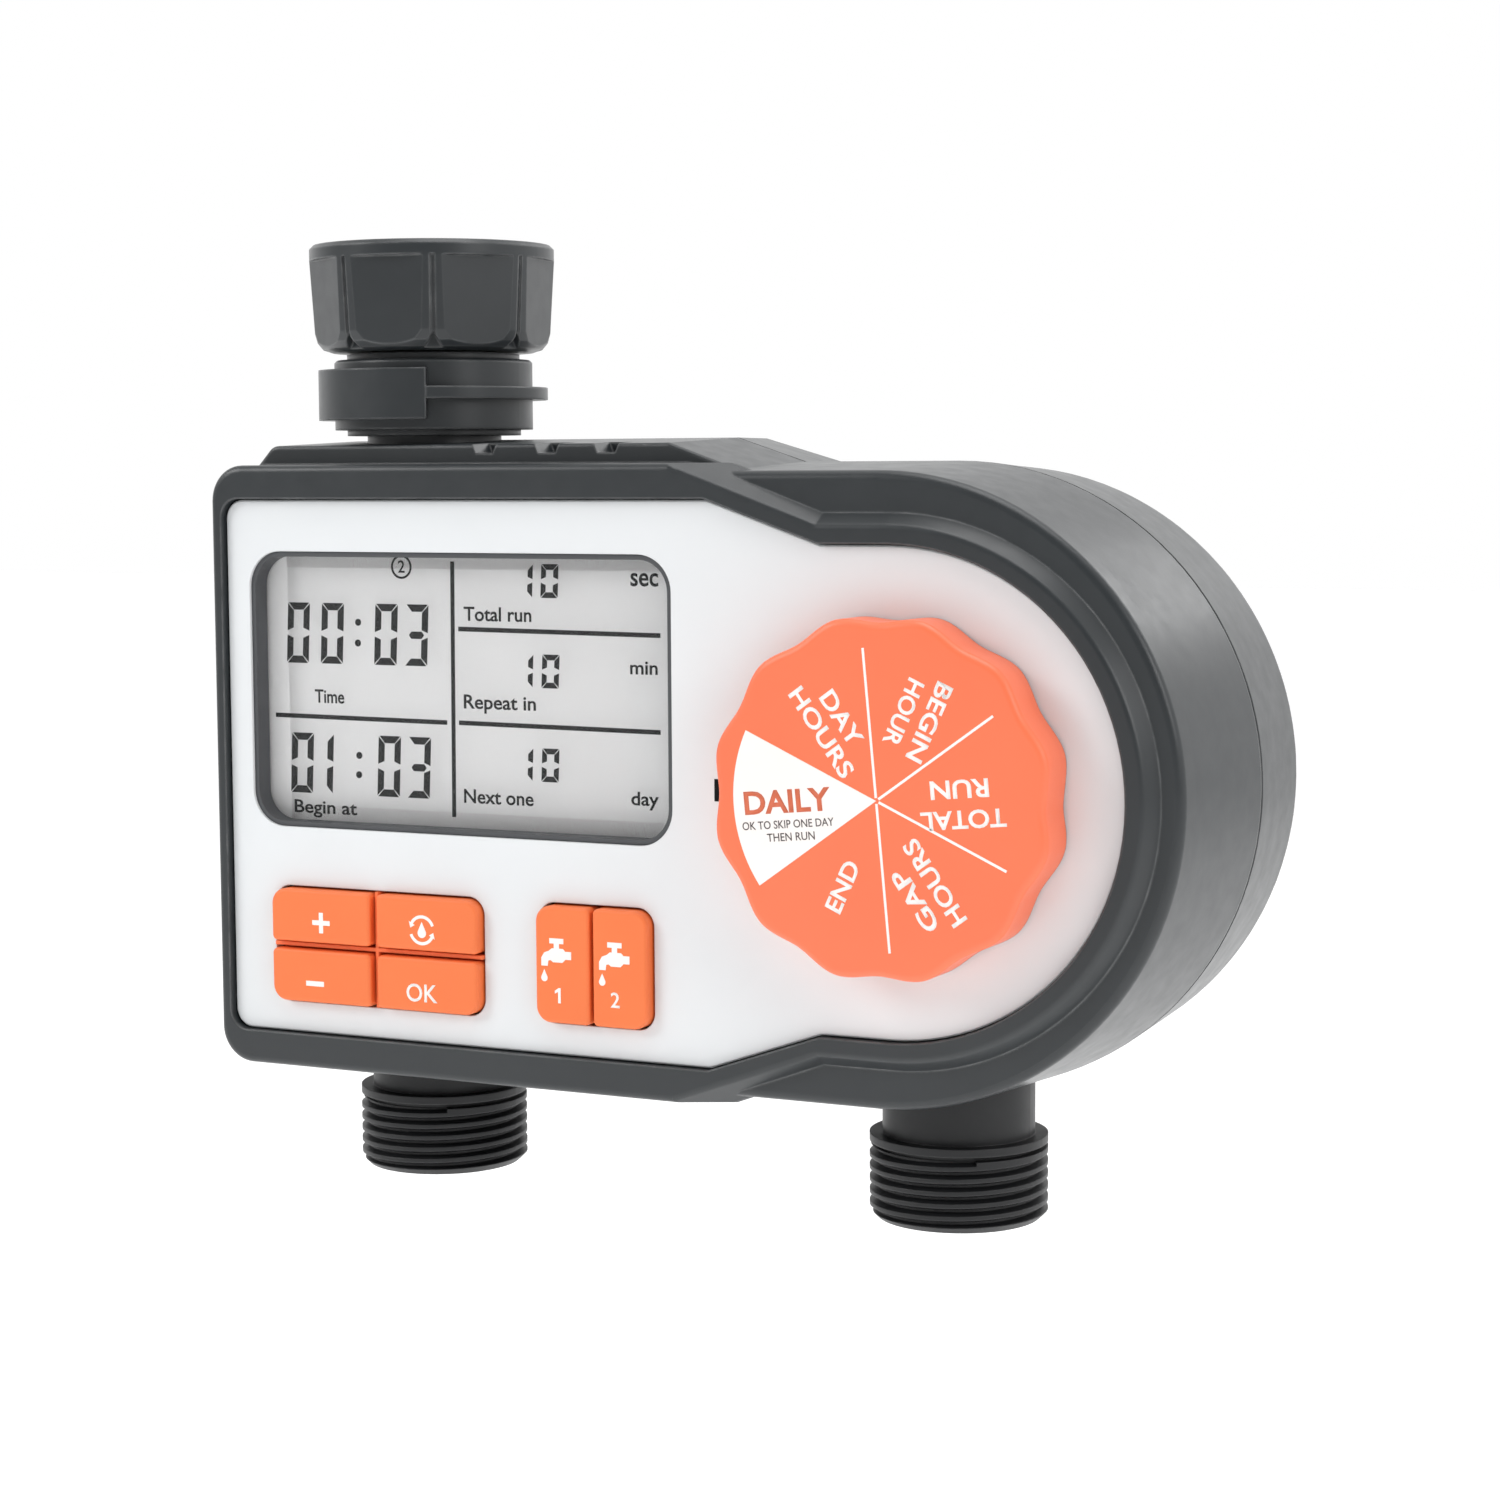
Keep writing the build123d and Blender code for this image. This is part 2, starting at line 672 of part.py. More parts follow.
def keypad_web():
    """Sheet of the four-key pad, with a cross of ribs between the keys."""
    front = PANEL_FRONT_Y - WEB_RISE
    half = WEB_RIB / 2
    x = (KEYPAD_LEFT + KEYPAD_RIGHT) / 2
    z = (KEYPAD_BOTTOM + KEYPAD_TOP) / 2
    ribs = box(x - half, x + half, front, CAVITY_FRONT_Y, KEYPAD_BOTTOM, KEYPAD_TOP)
    ribs += box(KEYPAD_LEFT, KEYPAD_RIGHT, front, CAVITY_FRONT_Y, z - half, z + half)
    return web(KEYPAD_LEFT, KEYPAD_RIGHT, LEFT_CELLS) + ribs


def key(cell, left, right):
    """One key: a cap that fills its corner of the pad, and the stem that presses the dome."""
    x0, x1, z0, z1 = cell
    gap = KEY_GAP
    edge = KEY_EDGE_GAP
    cap = round_plate(
        left + edge,
        right - edge,
        KEYPAD_BOTTOM + edge,
        KEYPAD_TOP - edge,
        KEY_CORNER_R - edge,
        KEY_FRONT_Y,
        KEY_CAP_BACK_Y,
    )
    x0 = x0 + gap if x0 > left else left
    x1 = x1 - gap if x1 < right else right
    z0 = z0 + gap if z0 > KEYPAD_BOTTOM else z0
    z1 = z1 - gap if z1 < KEYPAD_TOP else z1
    own = box(x0, x1, KEY_FRONT_Y, KEY_CAP_BACK_Y, z0, z1)
    cap = cap & own
    cap = fillet(inner_corners(cap, left, right), KEY_INNER_R)
    cap = fillet(front_edges(cap, KEY_FRONT_Y), KEY_EDGE_R)
    x, z = cell_centre(cell)
    return cap + disc(x, z, KEY_STEM_R, KEY_CAP_BACK_Y - 0.5, STEM_END_Y)


def inner_corners(cap, left, right):
    """The cap's upright corner edges that are still sharp."""
    return cap.edges().filter_by(Axis.Y).filter_by(
        lambda edge: is_sharp(edge.center(), left, right)
    )


def is_sharp(point, left, right):
    """Whether a point is on a side of the pad or inside it, away from its round corners."""
    near_side = min(point.X - left, right - point.X) < KEY_CORNER_R + 0.01
    near_end = min(point.Z - KEYPAD_BOTTOM, KEYPAD_TOP - point.Z) < KEY_CORNER_R + 0.01
    return not (near_side and near_end)


def key_domes():
    """Metal snap domes on the board, one under each key."""
    domes = []
    for cell in LEFT_CELLS + TAP_CELLS:
        x, z = cell_centre(cell)
        front = BOARD_FRONT_Y - DOME_HEIGHT
        domes.append(cone_y(x, z, DOME_R * 0.5, DOME_R, front, BOARD_FRONT_Y))
    return Compound(domes)


def board_holes():
    """Positions of the circuit board's screws, clear of display and keys."""
    below = DISPLAY_BOTTOM - 4.4
    beside = DISPLAY_RIGHT + 4.7
    return [(DISPLAY_LEFT + 1.3, below), (TAP_PAD_LEFT - 4.8, below), (beside, 30.0), (beside, -30.0)]


def circuit_board():
    """Control board, cut back round the screw posts."""
    plate = box(-22.0, 104.5, BOARD_FRONT_Y, BOARD_BACK_Y, -37.2, 37.4)
    keep = disc(DRUM_X, 0, DRUM_FRONT_R - WALL - 3.5, BOARD_FRONT_Y - 1, BOARD_BACK_Y + 1)
    keep += box(-30, DRUM_X, BOARD_FRONT_Y - 1, BOARD_BACK_Y + 1, -50, 50)
    plate = plate & keep
    for x, z in board_holes():
        plate -= disc(x, z, SCREW_R + RUNNING_GAP, BOARD_FRONT_Y - 1, BOARD_BACK_Y + 1)
    return plate


def board_screws():
    """Screws that hold the board to posts on the front shell."""
    screws = []
    for x, z in board_holes():
        screw = disc(x, z, SCREW_R, CAVITY_FRONT_Y + 0.6, BOARD_BACK_Y)
        screw += disc(x, z, SCREW_R + 1, BOARD_BACK_Y, BOARD_BACK_Y + 1.2)
        screws.append(screw)
    return Compound(screws)


# ---------------------------------------------------------------- dial
def lobe_outline(tip_r, valley_r):
    """A smooth ring of lobes, with a lobe on each side of the X axis."""
    points = []
    for k in range(4 * DIAL_LOBES):
        angle = 360 * k / (4 * DIAL_LOBES)
        wave = 0.5 - 0.5 * cos(radians(DIAL_LOBES * angle))
        points.append(polar(valley_r + (tip_r - valley_r) * wave, angle))
    return make_face(Spline(*points, periodic=True))


def dial_knob():
    """Lobed knob, hollow behind, with a socket for its shaft."""
    outline = Pos(DIAL_X, 0) * lobe_outline(DIAL_TIP_R, DIAL_VALLEY_R)
    knob = slab(outline, DIAL_FRONT_Y, DIAL_BACK_Y)
    knob = fillet(front_edges(knob, DIAL_FRONT_Y), 1.0)
    knob -= disc(DIAL_X, 0, DIAL_VALLEY_R - 2.6, DIAL_FRONT_Y + 2.2, DIAL_BACK_Y + 1)
    knob += disc(DIAL_X, 0, SHAFT_R + 2.0, DIAL_FRONT_Y + 1, DIAL_BACK_Y)
    for k in range(6):
        rib = box(SHAFT_R + 1, DIAL_VALLEY_R - 2, DIAL_FRONT_Y + 2, DIAL_BACK_Y - 2, -0.6, 0.6)
        knob += Pos(DIAL_X, 0, 0) * Rot(0, 60 * k + 30, 0) * rib
    knob -= disc(DIAL_X, 0, SHAFT_R, DIAL_FRONT_Y + 3, DIAL_BACK_Y + 1)
    return knob


def dial_shaft():
    """Steel shaft from knob to switch."""
    return disc(DIAL_X, 0, SHAFT_R, DIAL_FRONT_Y + 3, BOARD_FRONT_Y - 0.6)


def dial_seal():
    """Rubber ring round the shaft in the shell's floor."""
    return ring_y(DIAL_X, 0, SHAFT_R + 1.15, SHAFT_R + RUNNING_GAP, PANEL_BACK_Y, CAVITY_FRONT_Y - 0.3)


def rotary_switch():
    """Switch housing on the board, with twelve detents inside."""
    front = CAVITY_FRONT_Y + 1.2
    body = ring_y(DIAL_X, 0, SWITCH_R, WIPER_R + 1.0, front, BOARD_FRONT_Y)
    for k in range(12):
        x, z = polar(WIPER_R + 1.0, 30 * k + 15, DIAL_X)
        body -= disc(x, z, 0.8, front - 1, BOARD_FRONT_Y + 1)
    return body


def rotary_wiper():
    """Contact disc on the shaft, with a sprung nose in one detent."""
    front = CAVITY_FRONT_Y + 1.4
    disc_ring = ring_y(DIAL_X, 0, WIPER_R, SHAFT_R, front, BOARD_FRONT_Y - 0.4)
    nose_x, nose_z = polar(WIPER_R, 0, DIAL_X)
    return disc_ring - disc(nose_x - 2.2, nose_z, 1.0, front - 1, BOARD_FRONT_Y)


# ---------------------------------------------------------------- valves
def threaded_bar(radius, depth, low, high):
    """A round bar with a helical thread groove cut into it."""
    wide = THREAD_PITCH * THREAD_HALF_MOUTH
    narrow = THREAD_PITCH * THREAD_HALF_ROOT
    section = Polygon(
        (THREAD_OVERCUT, -wide),
        (THREAD_OVERCUT, wide),
        (-depth, narrow),
        (-depth, -narrow),
        align=None,
    )
    plane = Plane(origin=(radius, 0, 0), x_dir=(1, 0, 0), z_dir=(0, -1, 0))
    path = Helix(pitch=THREAD_PITCH, height=high - low + THREAD_PITCH, radius=radius)
    groove = Pos(0, 0, low - THREAD_PITCH) * sweep(plane * section, path=path, is_frenet=True)
    return bar_z(0, 0, radius, low, high) - groove


def outlet(x):
    """Neck and threaded outlet below one valve, with a plain collar and a relief above its thread."""
    top = OUTLET_END_Z + OUTLET_THREAD_LENGTH
    collar_low = top - OUTLET_COLLAR_HEIGHT
    stub = threaded_bar(THREAD_R, THREAD_DEPTH, OUTLET_END_Z, collar_low - THREAD_RELIEF)
    tip = cone_z(THREAD_R - THREAD_CHAMFER, THREAD_R, OUTLET_END_Z, OUTLET_END_Z + THREAD_CHAMFER)
    stub = stub & (tip + bar_z(0, 0, THREAD_R + 1, OUTLET_END_Z + THREAD_CHAMFER, top))
    stub += bar_z(0, 0, THREAD_R - THREAD_DEPTH - FIT_GAP, OUTLET_END_Z + 4, top)
    stub += bar_z(0, 0, THREAD_R, collar_low, top)
    return Pos(x, 0, 0) * stub + bar_z(x, 0, OUTLET_NECK_R, OUTLET_END_Z + 4, NECK_TOP_Z)


def valve_body(x, side, top):
    """Pipe with a seat and diaphragm flange; side is the way that the solenoid points."""
    body = bar_z(x, 0, PIPE_R, CASE_BOTTOM + 4, top)
    body += outlet(x)
    flange_face = x + side * FLANGE_X
    near = x + side * 2
    x0, x1 = sorted((near, flange_face))
    body += box(x0, x1, -FLANGE_HALF_Y, FLANGE_HALF_Y, -FLANGE_HALF_Z, FLANGE_HALF_Z)
    body -= bar_z(x, 0, PIPE_BORE_R, OUTLET_END_Z - 1, -CHAMBER_R + 2)
    body -= bar_z(x, 0, PIPE_BORE_R, CHAMBER_R - 2.5, top + 1)
    chamber = bar_x(flange_face + side, x + side * 7.0, 0, CHAMBER_R)
    seat = bar_x(flange_face - side * 0.6, x + side * 6.0, 0, SEAT_R + SEAT_WIDTH)
    body -= chamber - seat
    body -= bar_x(flange_face + side, x, 0, SEAT_R)
    body -= bar_z(x, 0, SEAT_R, -CHAMBER_R, 0)
    body -= bar_x(flange_face + side, flange_face - side * 0.6, 0, DIAPHRAGM_R)
    for y, z in bonnet_screw_places():
        hole = bar_x(flange_face + side, flange_face - side * 8, z, SCREW_R + RUNNING_GAP)
        body -= Pos(0, y, 0) * hole
    return body


def bonnet_screw_places():
    """Screw positions on the diaphragm flange."""
    places = []
    for y in (-1, 1):
        for z in (-1, 1):
            places.append((y * (FLANGE_HALF_Y - 2.4), z * (FLANGE_HALF_Z - 2.6)))
    return places


def valve_body_left():
    """Left valve, which also takes the inlet and feeds the cross pipe."""
    body = valve_body(0, 1, PIPE_TOP_Z)
    body -= bar_z(0, 0, SPIGOT_R + RUNNING_GAP, PIPE_TOP_Z - SPIGOT_DEPTH, PIPE_TOP_Z + 1)
    body += bar_x(PIPE_BORE_R + 1.5, PIPE_R + 5, CROSS_PIPE_Z, CROSS_PIPE_R + 2.5)
    body -= bar_x(0, PIPE_R + 6, CROSS_PIPE_Z, CROSS_PIPE_BORE_R)
    body -= bar_x(PIPE_R, PIPE_R + 6, CROSS_PIPE_Z, CROSS_PIPE_R + RUNNING_GAP)
    return body - bar_z(0, 0, PIPE_BORE_R, CROSS_PIPE_Z - 9, CROSS_PIPE_Z + 9)


def valve_body_right():
    """Right valve, closed above and fed by the cross pipe."""
    top = CROSS_PIPE_Z + CROSS_PIPE_R + 3
    body = valve_body(RIGHT_X, -1, top)
    body += bar_z(RIGHT_X, 0, PIPE_R, top, top + 2)
    body += bar_x(RIGHT_X - PIPE_BORE_R - 1.5, RIGHT_X - PIPE_R - 5, CROSS_PIPE_Z, CROSS_PIPE_R + 2.5)
    body -= bar_x(RIGHT_X, RIGHT_X - PIPE_R - 6, CROSS_PIPE_Z, CROSS_PIPE_BORE_R)
    body -= bar_x(RIGHT_X - PIPE_R, RIGHT_X - PIPE_R - 6, CROSS_PIPE_Z, CROSS_PIPE_R + RUNNING_GAP)
    return body - bar_z(RIGHT_X, 0, PIPE_BORE_R, CROSS_PIPE_Z - 9, CROSS_PIPE_Z + 6)


def cross_pipe():
    """Tube that carries water from the left valve to the right one."""
    left = PIPE_R + 0.3
    right = RIGHT_X - PIPE_R - 0.3
    tube = bar_x(left, right, CROSS_PIPE_Z, CROSS_PIPE_R)
    tube -= bar_x(left - 1, right + 1, CROSS_PIPE_Z, CROSS_PIPE_BORE_R)
    for start, way in ((left, 1), (right, -1)):
        groove = bar_x(start + way * 1.2, start + way * 3.0, CROSS_PIPE_Z, CROSS_PIPE_R + 1)
        groove -= bar_x(start + way, start + way * 3.2, CROSS_PIPE_Z, CROSS_PIPE_R - 0.9)
        tube -= groove
    return tube


def cross_pipe_seals():
    """Rubber rings in the cross pipe's two end grooves."""
    rings = []
    for start, way in ((PIPE_R + 0.3, 1), (RIGHT_X - PIPE_R - 0.3, -1)):
        ring = bar_x(start + way * 1.25, start + way * 2.95, CROSS_PIPE_Z, CROSS_PIPE_R + 0.03)
        ring -= bar_x(start + way, start + way * 3.2, CROSS_PIPE_Z, CROSS_PIPE_R - 0.85)
        rings.append(ring)
    return Compound(rings)


def along(x, side, distance):
    """X at a distance out from a valve's flange face."""
    return x + side * (FLANGE_X + distance)


def diaphragm(x, side):
    """Rubber diaphragm, resting on its seat."""
    start = along(x, side, -0.6)
    sheet = bar_x(start, along(x, side, DIAPHRAGM_THICK - 0.6), 0, DIAPHRAGM_R - 0.05)
    return sheet + bar_x(start, along(x, side, DIAPHRAGM_THICK + 0.4), 0, SEAT_R)


def bonnet(x, side):
    """Cover of the diaphragm chamber, with the plunger's guide tube."""
    end = along(x, side, BONNET_THICK)
    x0, x1 = sorted((along(x, side, 0), end))
    guide_end = along(x, side, BONNET_THICK + GUIDE_LENGTH)
    cap = box(x0, x1, -FLANGE_HALF_Y, FLANGE_HALF_Y, -FLANGE_HALF_Z, FLANGE_HALF_Z)
    cap += bar_x(along(x, side, BONNET_THICK - 0.5), guide_end, 0, GUIDE_R)
    cap -= bar_x(along(x, side, -1), along(x, side, DIAPHRAGM_THICK - 0.6), 0, DIAPHRAGM_R)
    cap -= bar_x(along(x, side, -1), along(x, side, 2.4), 0, CHAMBER_R - 1)
    cap -= bar_x(along(x, side, 2.0), along(x, side, BONNET_THICK + GUIDE_LENGTH - 1.2), 0, GUIDE_BORE_R)
    for y, z in bonnet_screw_places():
        cap -= Pos(0, y, 0) * bar_x(along(x, side, -1), along(x, side, 9), z, SCREW_R + RUNNING_GAP)
    return cap


def bonnet_screws():
    """Screws of both bonnets."""
    screws = []
    for x, side in ((0, 1), (RIGHT_X, -1)):
        for y, z in bonnet_screw_places():
            head_at = along(x, side, BONNET_THICK)
            screw = bar_x(along(x, side, -7), head_at, z, SCREW_R)
            screw += bar_x(head_at, head_at + side * 1.4, z, 2.2)
            screws.append(Pos(0, y, 0) * screw)
    return Compound(screws)


def plunger(x, side):
    """Steel plunger; it closes the pilot hole at rest."""
    rod = bar_x(along(x, side, PLUNGER_START), along(x, side, PLUNGER_START + PLUNGER_LENGTH), 0,
                GUIDE_BORE_R - RUNNING_GAP)
    tip = bar_x(along(x, side, PLUNGER_START - 1.2), along(x, side, PLUNGER_START + 0.1), 0, 1.4)
    return rod + tip


def plunger_spring(x, side):
    """Coil spring between the plunger and the end of its tube."""
    start = PLUNGER_START + PLUNGER_LENGTH + SPRING_WIRE_R
    end = BONNET_THICK + GUIDE_LENGTH - 1.2 - SPRING_WIRE_R
    turns = 7
    height = end - start
    coil = Helix(pitch=height / turns, height=height, radius=SPRING_R)
    section = Plane(origin=coil @ 0, z_dir=coil % 0) * Circle(SPRING_WIRE_R)
    spring = sweep(section, path=coil, is_frenet=True)
    return Pos(along(x, side, start), 0, 0) * Rot(0, 90 * side, 0) * spring


def solenoid_coil(x, side):
    """Wound bobbin round the guide tube."""
    start = BONNET_THICK + COIL_START
    end = start + COIL_LENGTH
    coil = bar_x(along(x, side, start + 1), along(x, side, end - 1), 0, COIL_R)
    for a, b in ((start, start + 1.2), (end - 1.2, end)):
        coil += bar_x(along(x, side, a), along(x, side, b), 0, COIL_R + 0.9)
    return coil - bar_x(along(x, side, start - 1), along(x, side, end + 1), 0, GUIDE_R + 0.1)


def solenoid_yoke(x, side):
    """Steel frame bent round the coil."""
    start = BONNET_THICK + COIL_START - YOKE_THICK - 0.1
    end = BONNET_THICK + COIL_START + COIL_LENGTH + YOKE_THICK + 0.1
    half = COIL_R + 1.1 + YOKE_THICK
    x0, x1 = sorted((along(x, side, start), along(x, side, end)))
    yoke = box(x0, x1, -6.5, 6.5, -half, half)
    yoke -= box(x0 + YOKE_THICK, x1 - YOKE_THICK, -8, 8, -half + YOKE_THICK, half - YOKE_THICK)
    return yoke - bar_x(x0 - 1, x1 + 1, 0, GUIDE_R + 0.1)


# ---------------------------------------------------------------- inlet
def revolved(points):
    """A profile of (radius, Z) points turned about the inlet axis."""
    return revolve(Plane.XZ * Polygon(*points, align=None), Axis.Z)


def nut_octagon(z, flat):
    """Octagon across the nut at one height, by the distance from axis to flat."""
    outline = RegularPolygon(flat / cos(pi / NUT_FACETS), NUT_FACETS, rotation=NUT_TURN)
    return Pos(0, 0, z) * outline


def nut_form():
    """Outside of the hand nut: eight flats between ribs, a lip and a soft lower edge."""
    lip_z = MOUTH_Z - NUT_LIP
    nut = revolved((
        (0, NUT_BOTTOM_Z),
        (NUT_R - 3.4, NUT_BOTTOM_Z),
        (NUT_R - 1.9, NUT_BOTTOM_Z + 0.5),
        (NUT_R - 1.1, NUT_BOTTOM_Z + 1.5),
        (NUT_R - NUT_TAPER, NUT_BOTTOM_Z + 3.0),
        (NUT_R, lip_z),
        (NUT_R, MOUTH_Z - 0.6),
        (NUT_R - 0.6, MOUTH_Z),
        (0, MOUTH_Z),
    ))
    low = nut_octagon(NUT_BOTTOM_Z, NUT_FACET_R - NUT_TAPER)
    grip = loft([low, nut_octagon(lip_z, NUT_FACET_R)], ruled=True)
    return nut & (grip + bar_z(0, 0, NUT_R + 1, lip_z, MOUTH_Z + 1))


def nut_rib_cuts():
    """The groove down each rib and the notch at its foot."""
    half_height = (NUT_HEIGHT - NUT_LIP) / 2
    middle_r = NUT_R - NUT_TAPER / 2 - NUT_RIB_GROOVE
    lean = degrees(atan2(NUT_TAPER, 2 * half_height - 3.0))
    groove = Pos(middle_r + 1, 0, NUT_BOTTOM_Z + half_height + 1) * Rot(0, lean, 0)
    groove = groove * Box(2, NUT_RIB_GROOVE * 2, 2 * half_height - 2)
    foot = Polygon((-1.9, -0.5), (1.9, -0.5), (0, 2.7), align=None)
    notch_cut = Pos(NUT_R - 2.6, 0, NUT_BOTTOM_Z) * extrude(Plane.YZ * foot, amount=4)
    return groove + notch_cut


def swivel_nut():
    """Hand nut with an inside thread, held on the stem by its floor."""
    nut = nut_form()
    cuts = nut_rib_cuts()
    for k in range(NUT_FACETS):
        nut -= Rot(0, 0, 360 * k / NUT_FACETS + NUT_TURN) * cuts
    thread_low = MOUTH_Z - NUT_THREAD_LENGTH
    thread_depth = THREAD_DEPTH + 0.04
    nut -= threaded_bar(THREAD_R, thread_depth, thread_low - THREAD_PITCH, MOUTH_Z + THREAD_PITCH)
    nut -= bar_z(0, 0, THREAD_R + 0.4, FLANGE_LOW_Z - 0.3, thread_low)
    nut -= bar_z(0, 0, STEM_R + 0.5, NUT_BOTTOM_Z - 1, FLANGE_LOW_Z)
    nut -= bar_z(0, 0, NUT_LEAD_R, MOUTH_Z - NUT_LEAD_DEPTH, MOUTH_Z + 1)
    return nut - bar_z(0, 0, THREAD_R - THREAD_DEPTH, FLANGE_LOW_Z, MOUTH_Z + 1)


def inlet_tailpiece():
    """Hollow stem that the nut turns on, plugged into the left valve."""
    stem = revolved((
        (TAILPIECE_BORE_R, PIPE_TOP_Z - SPIGOT_DEPTH + 0.3),
        (SPIGOT_R, PIPE_TOP_Z - SPIGOT_DEPTH + 0.3),
        (SPIGOT_R, PIPE_TOP_Z),
        (TAILPIECE_R, PIPE_TOP_Z),
        (TAILPIECE_R, COLLAR_BOTTOM_Z - 0.9),
        (COLLAR_R - 1.9, COLLAR_BOTTOM_Z - 0.9),
        (COLLAR_R - 1.9, COLLAR_BOTTOM_Z),
        (TAILPIECE_R, COLLAR_BOTTOM_Z),
        (TAILPIECE_R, COLLAR_TOP_Z),
        (COLLAR_R - 2.0, COLLAR_TOP_Z),
        (COLLAR_R - 2.0, SHOULDER_TOP_Z),
        (STEM_R, SHOULDER_TOP_Z),
        (STEM_R, FLANGE_LOW_Z),
        (FLANGE_R, FLANGE_LOW_Z),
        (FLANGE_R, FLANGE_TOP_Z),
        (TAILPIECE_BORE_R + 2.6, FLANGE_TOP_Z),
        (TAILPIECE_BORE_R, FLANGE_TOP_Z - 6),
    ))
    groove = ring_z(0, 0, SPIGOT_R + 1, SPIGOT_R - 1, PIPE_TOP_Z - 5.2, PIPE_TOP_Z - 3.4)
    return stem - groove


def inlet_collar():
    """Grip collar round the stem."""
    collar = ring_z(0, 0, COLLAR_R, TAILPIECE_R, COLLAR_BOTTOM_Z, COLLAR_TOP_Z)
    return chamfer(collar.edges().group_by(Axis.Z)[-1].sort_by(SortBy.LENGTH)[-1], 0.4)


def inlet_clamp_ring():
    """Clip round the collar: a thick pad on one side and a thin band on the other."""
    pad = ring_z(0, 0, CLAMP_R, COLLAR_R, COLLAR_BOTTOM_Z + 1.5, COLLAR_TOP_Z - 1.5)
    half = box(-30, 0, -30, 30, COLLAR_BOTTOM_Z, COLLAR_TOP_Z)
    pad = pad & (Rot(0, 0, 28) * half)
    band_low = COLLAR_BOTTOM_Z + 4.6
    band = ring_z(0, 0, CLAMP_R - 0.1, COLLAR_R, band_low, band_low + 1.9)
    return pad + band


def inlet_seal():
    """Rubber ring on the stem's spigot."""
    return ring_z(0, 0, SPIGOT_R + 0.03, SPIGOT_R - 0.95, PIPE_TOP_Z - 5.15, PIPE_TOP_Z - 3.45)


def inlet_washer():
    """Flat sealing washer on the stem's flange."""
    low = FLANGE_TOP_Z + 0.4
    return ring_z(0, 0, THREAD_R - THREAD_DEPTH - 0.4, TAILPIECE_BORE_R + 2, low, low + 1.8)


def inlet_screen():
    """Perforated disc that keeps grit out."""
    disc_r = THREAD_R - THREAD_DEPTH - 0.5
    screen = bar_z(0, 0, disc_r, FLANGE_TOP_Z, FLANGE_TOP_Z + 0.4)
    pitch = 2.0
    for row in range(-4, 5):
        for column in range(-4, 5):
            x = (column + 0.5 * (row % 2)) * pitch
            y = row * pitch * sqrt(3) / 2
            if x * x + y * y < (TAILPIECE_BORE_R + 1.2) ** 2:
                screen -= bar_z(x, y, 0.65, FLANGE_TOP_Z - 1, FLANGE_TOP_Z + 1)
    return screen


# ---------------------------------------------------------------- batteries
def cell_x(k):
    """X of one battery's axis."""
    return DRUM_X + (2 * k - 1) * (CELL_R + CELL_GAP / 2)


def battery(k):
    """One cell, with its button end up or down."""
    half = CELL_LENGTH / 2
    cell = bar_z(0, 0, CELL_R, -half, half - 1.4)
    cell += bar_z(0, 0, 2.7, half - 1.5, half)
    turn = 180 * k
    return Pos(cell_x(k), CELL_Y, 0) * Rot(0, turn, 0) * cell


def battery_tray():
    """Plastic cradle that the two cells lie in."""
    half_x = 2 * CELL_R + CELL_GAP / 2 + 1.0
    half_z = CELL_LENGTH / 2 + 3.4
    front = WELL_INNER_Y
    tray = box(DRUM_X - half_x, DRUM_X + half_x, front, CELL_Y, -half_z, half_z)
    tray = tray & disc(DRUM_X, 0, WELL_R - SKIRT_THICK - 1.2, front, CELL_Y)
    for k in range(2):
        tray -= bar_z(cell_x(k), CELL_Y, CELL_R + 0.15, -half_z + 1.2, half_z - 1.2)
    for plate in battery_contacts():
        tray -= plate
    return tray


def battery_springs():
    """Conical contact springs at the cells' flat ends, drawn as rings of wire."""
    springs = []
    for k in range(2):
        way = -1 if k == 0 else 1
        end = way * CELL_LENGTH / 2
        for turn in range(3):
            z = end + way * (0.35 + 0.75 * turn)
            ring = Torus(2.6 + 0.5 * turn, 0.3)
            springs.append(Pos(cell_x(k), CELL_Y, z) * ring)
    return Compound(springs)


def battery_contacts():
    """Nickel plates at both ends of each cell."""
    plates = []
    for k in range(2):
        for way in (-1, 1):
            spring_end = (k == 0) == (way == -1)
            z = way * (CELL_LENGTH / 2 + (2.15 if spring_end else 0.0))
            z0, z1 = sorted((z, z + way * 0.35))
            x = cell_x(k)
            plates.append(box(x - 3.2, x + 3.2, WELL_INNER_Y + 3.4, CELL_Y + 4, z0, z1))
    return Compound(plates)


def battery_cover():
    """Round cover with a skirt, three lugs and a finger bar."""
    cover = disc(DRUM_X, 0, COVER_R, COVER_FRONT_Y, CASE_BACK_Y)
    cover = fillet(front_edges(cover, CASE_BACK_Y), 0.6)
    skirt_r = WELL_R - COVER_GAP
    skirt_front = LUG_FRONT_Y - 0.4
    cover += ring_y(DRUM_X, 0, skirt_r, skirt_r - SKIRT_THICK, skirt_front, COVER_FRONT_Y + 0.2)
    for k in range(3):
        lug = sector(LUG_R, 120 * k - LUG_ARC / 2, LUG_ARC, LUG_FRONT_Y, LUG_BACK_Y)
        lug -= disc(DRUM_X, 0, skirt_r - 0.5, LUG_FRONT_Y - 1, LUG_BACK_Y + 1)
        cover += lug
    cover -= disc(DRUM_X, 0, skirt_r - SKIRT_THICK, COVER_FRONT_Y - 1, CASE_BACK_Y - 1.2)
    bar = round_plate(DRUM_X - 24, DRUM_X + 24, -3, 3, 2.8, CASE_BACK_Y - 0.5, CASE_BACK_Y + 2.4)
    bar = fillet(front_edges(bar, CASE_BACK_Y + 2.4), 1.0)
    return cover + bar


# ---------------------------------------------------------------- wires
def wire(points, radius, bend):
    """A round wire along straight runs with rounded corners."""
    path = FilletPolyline(*points, radius=bend)
    section = Plane(origin=path @ 0, z_dir=path % 0) * Circle(radius)
    return sweep(section, path=path)


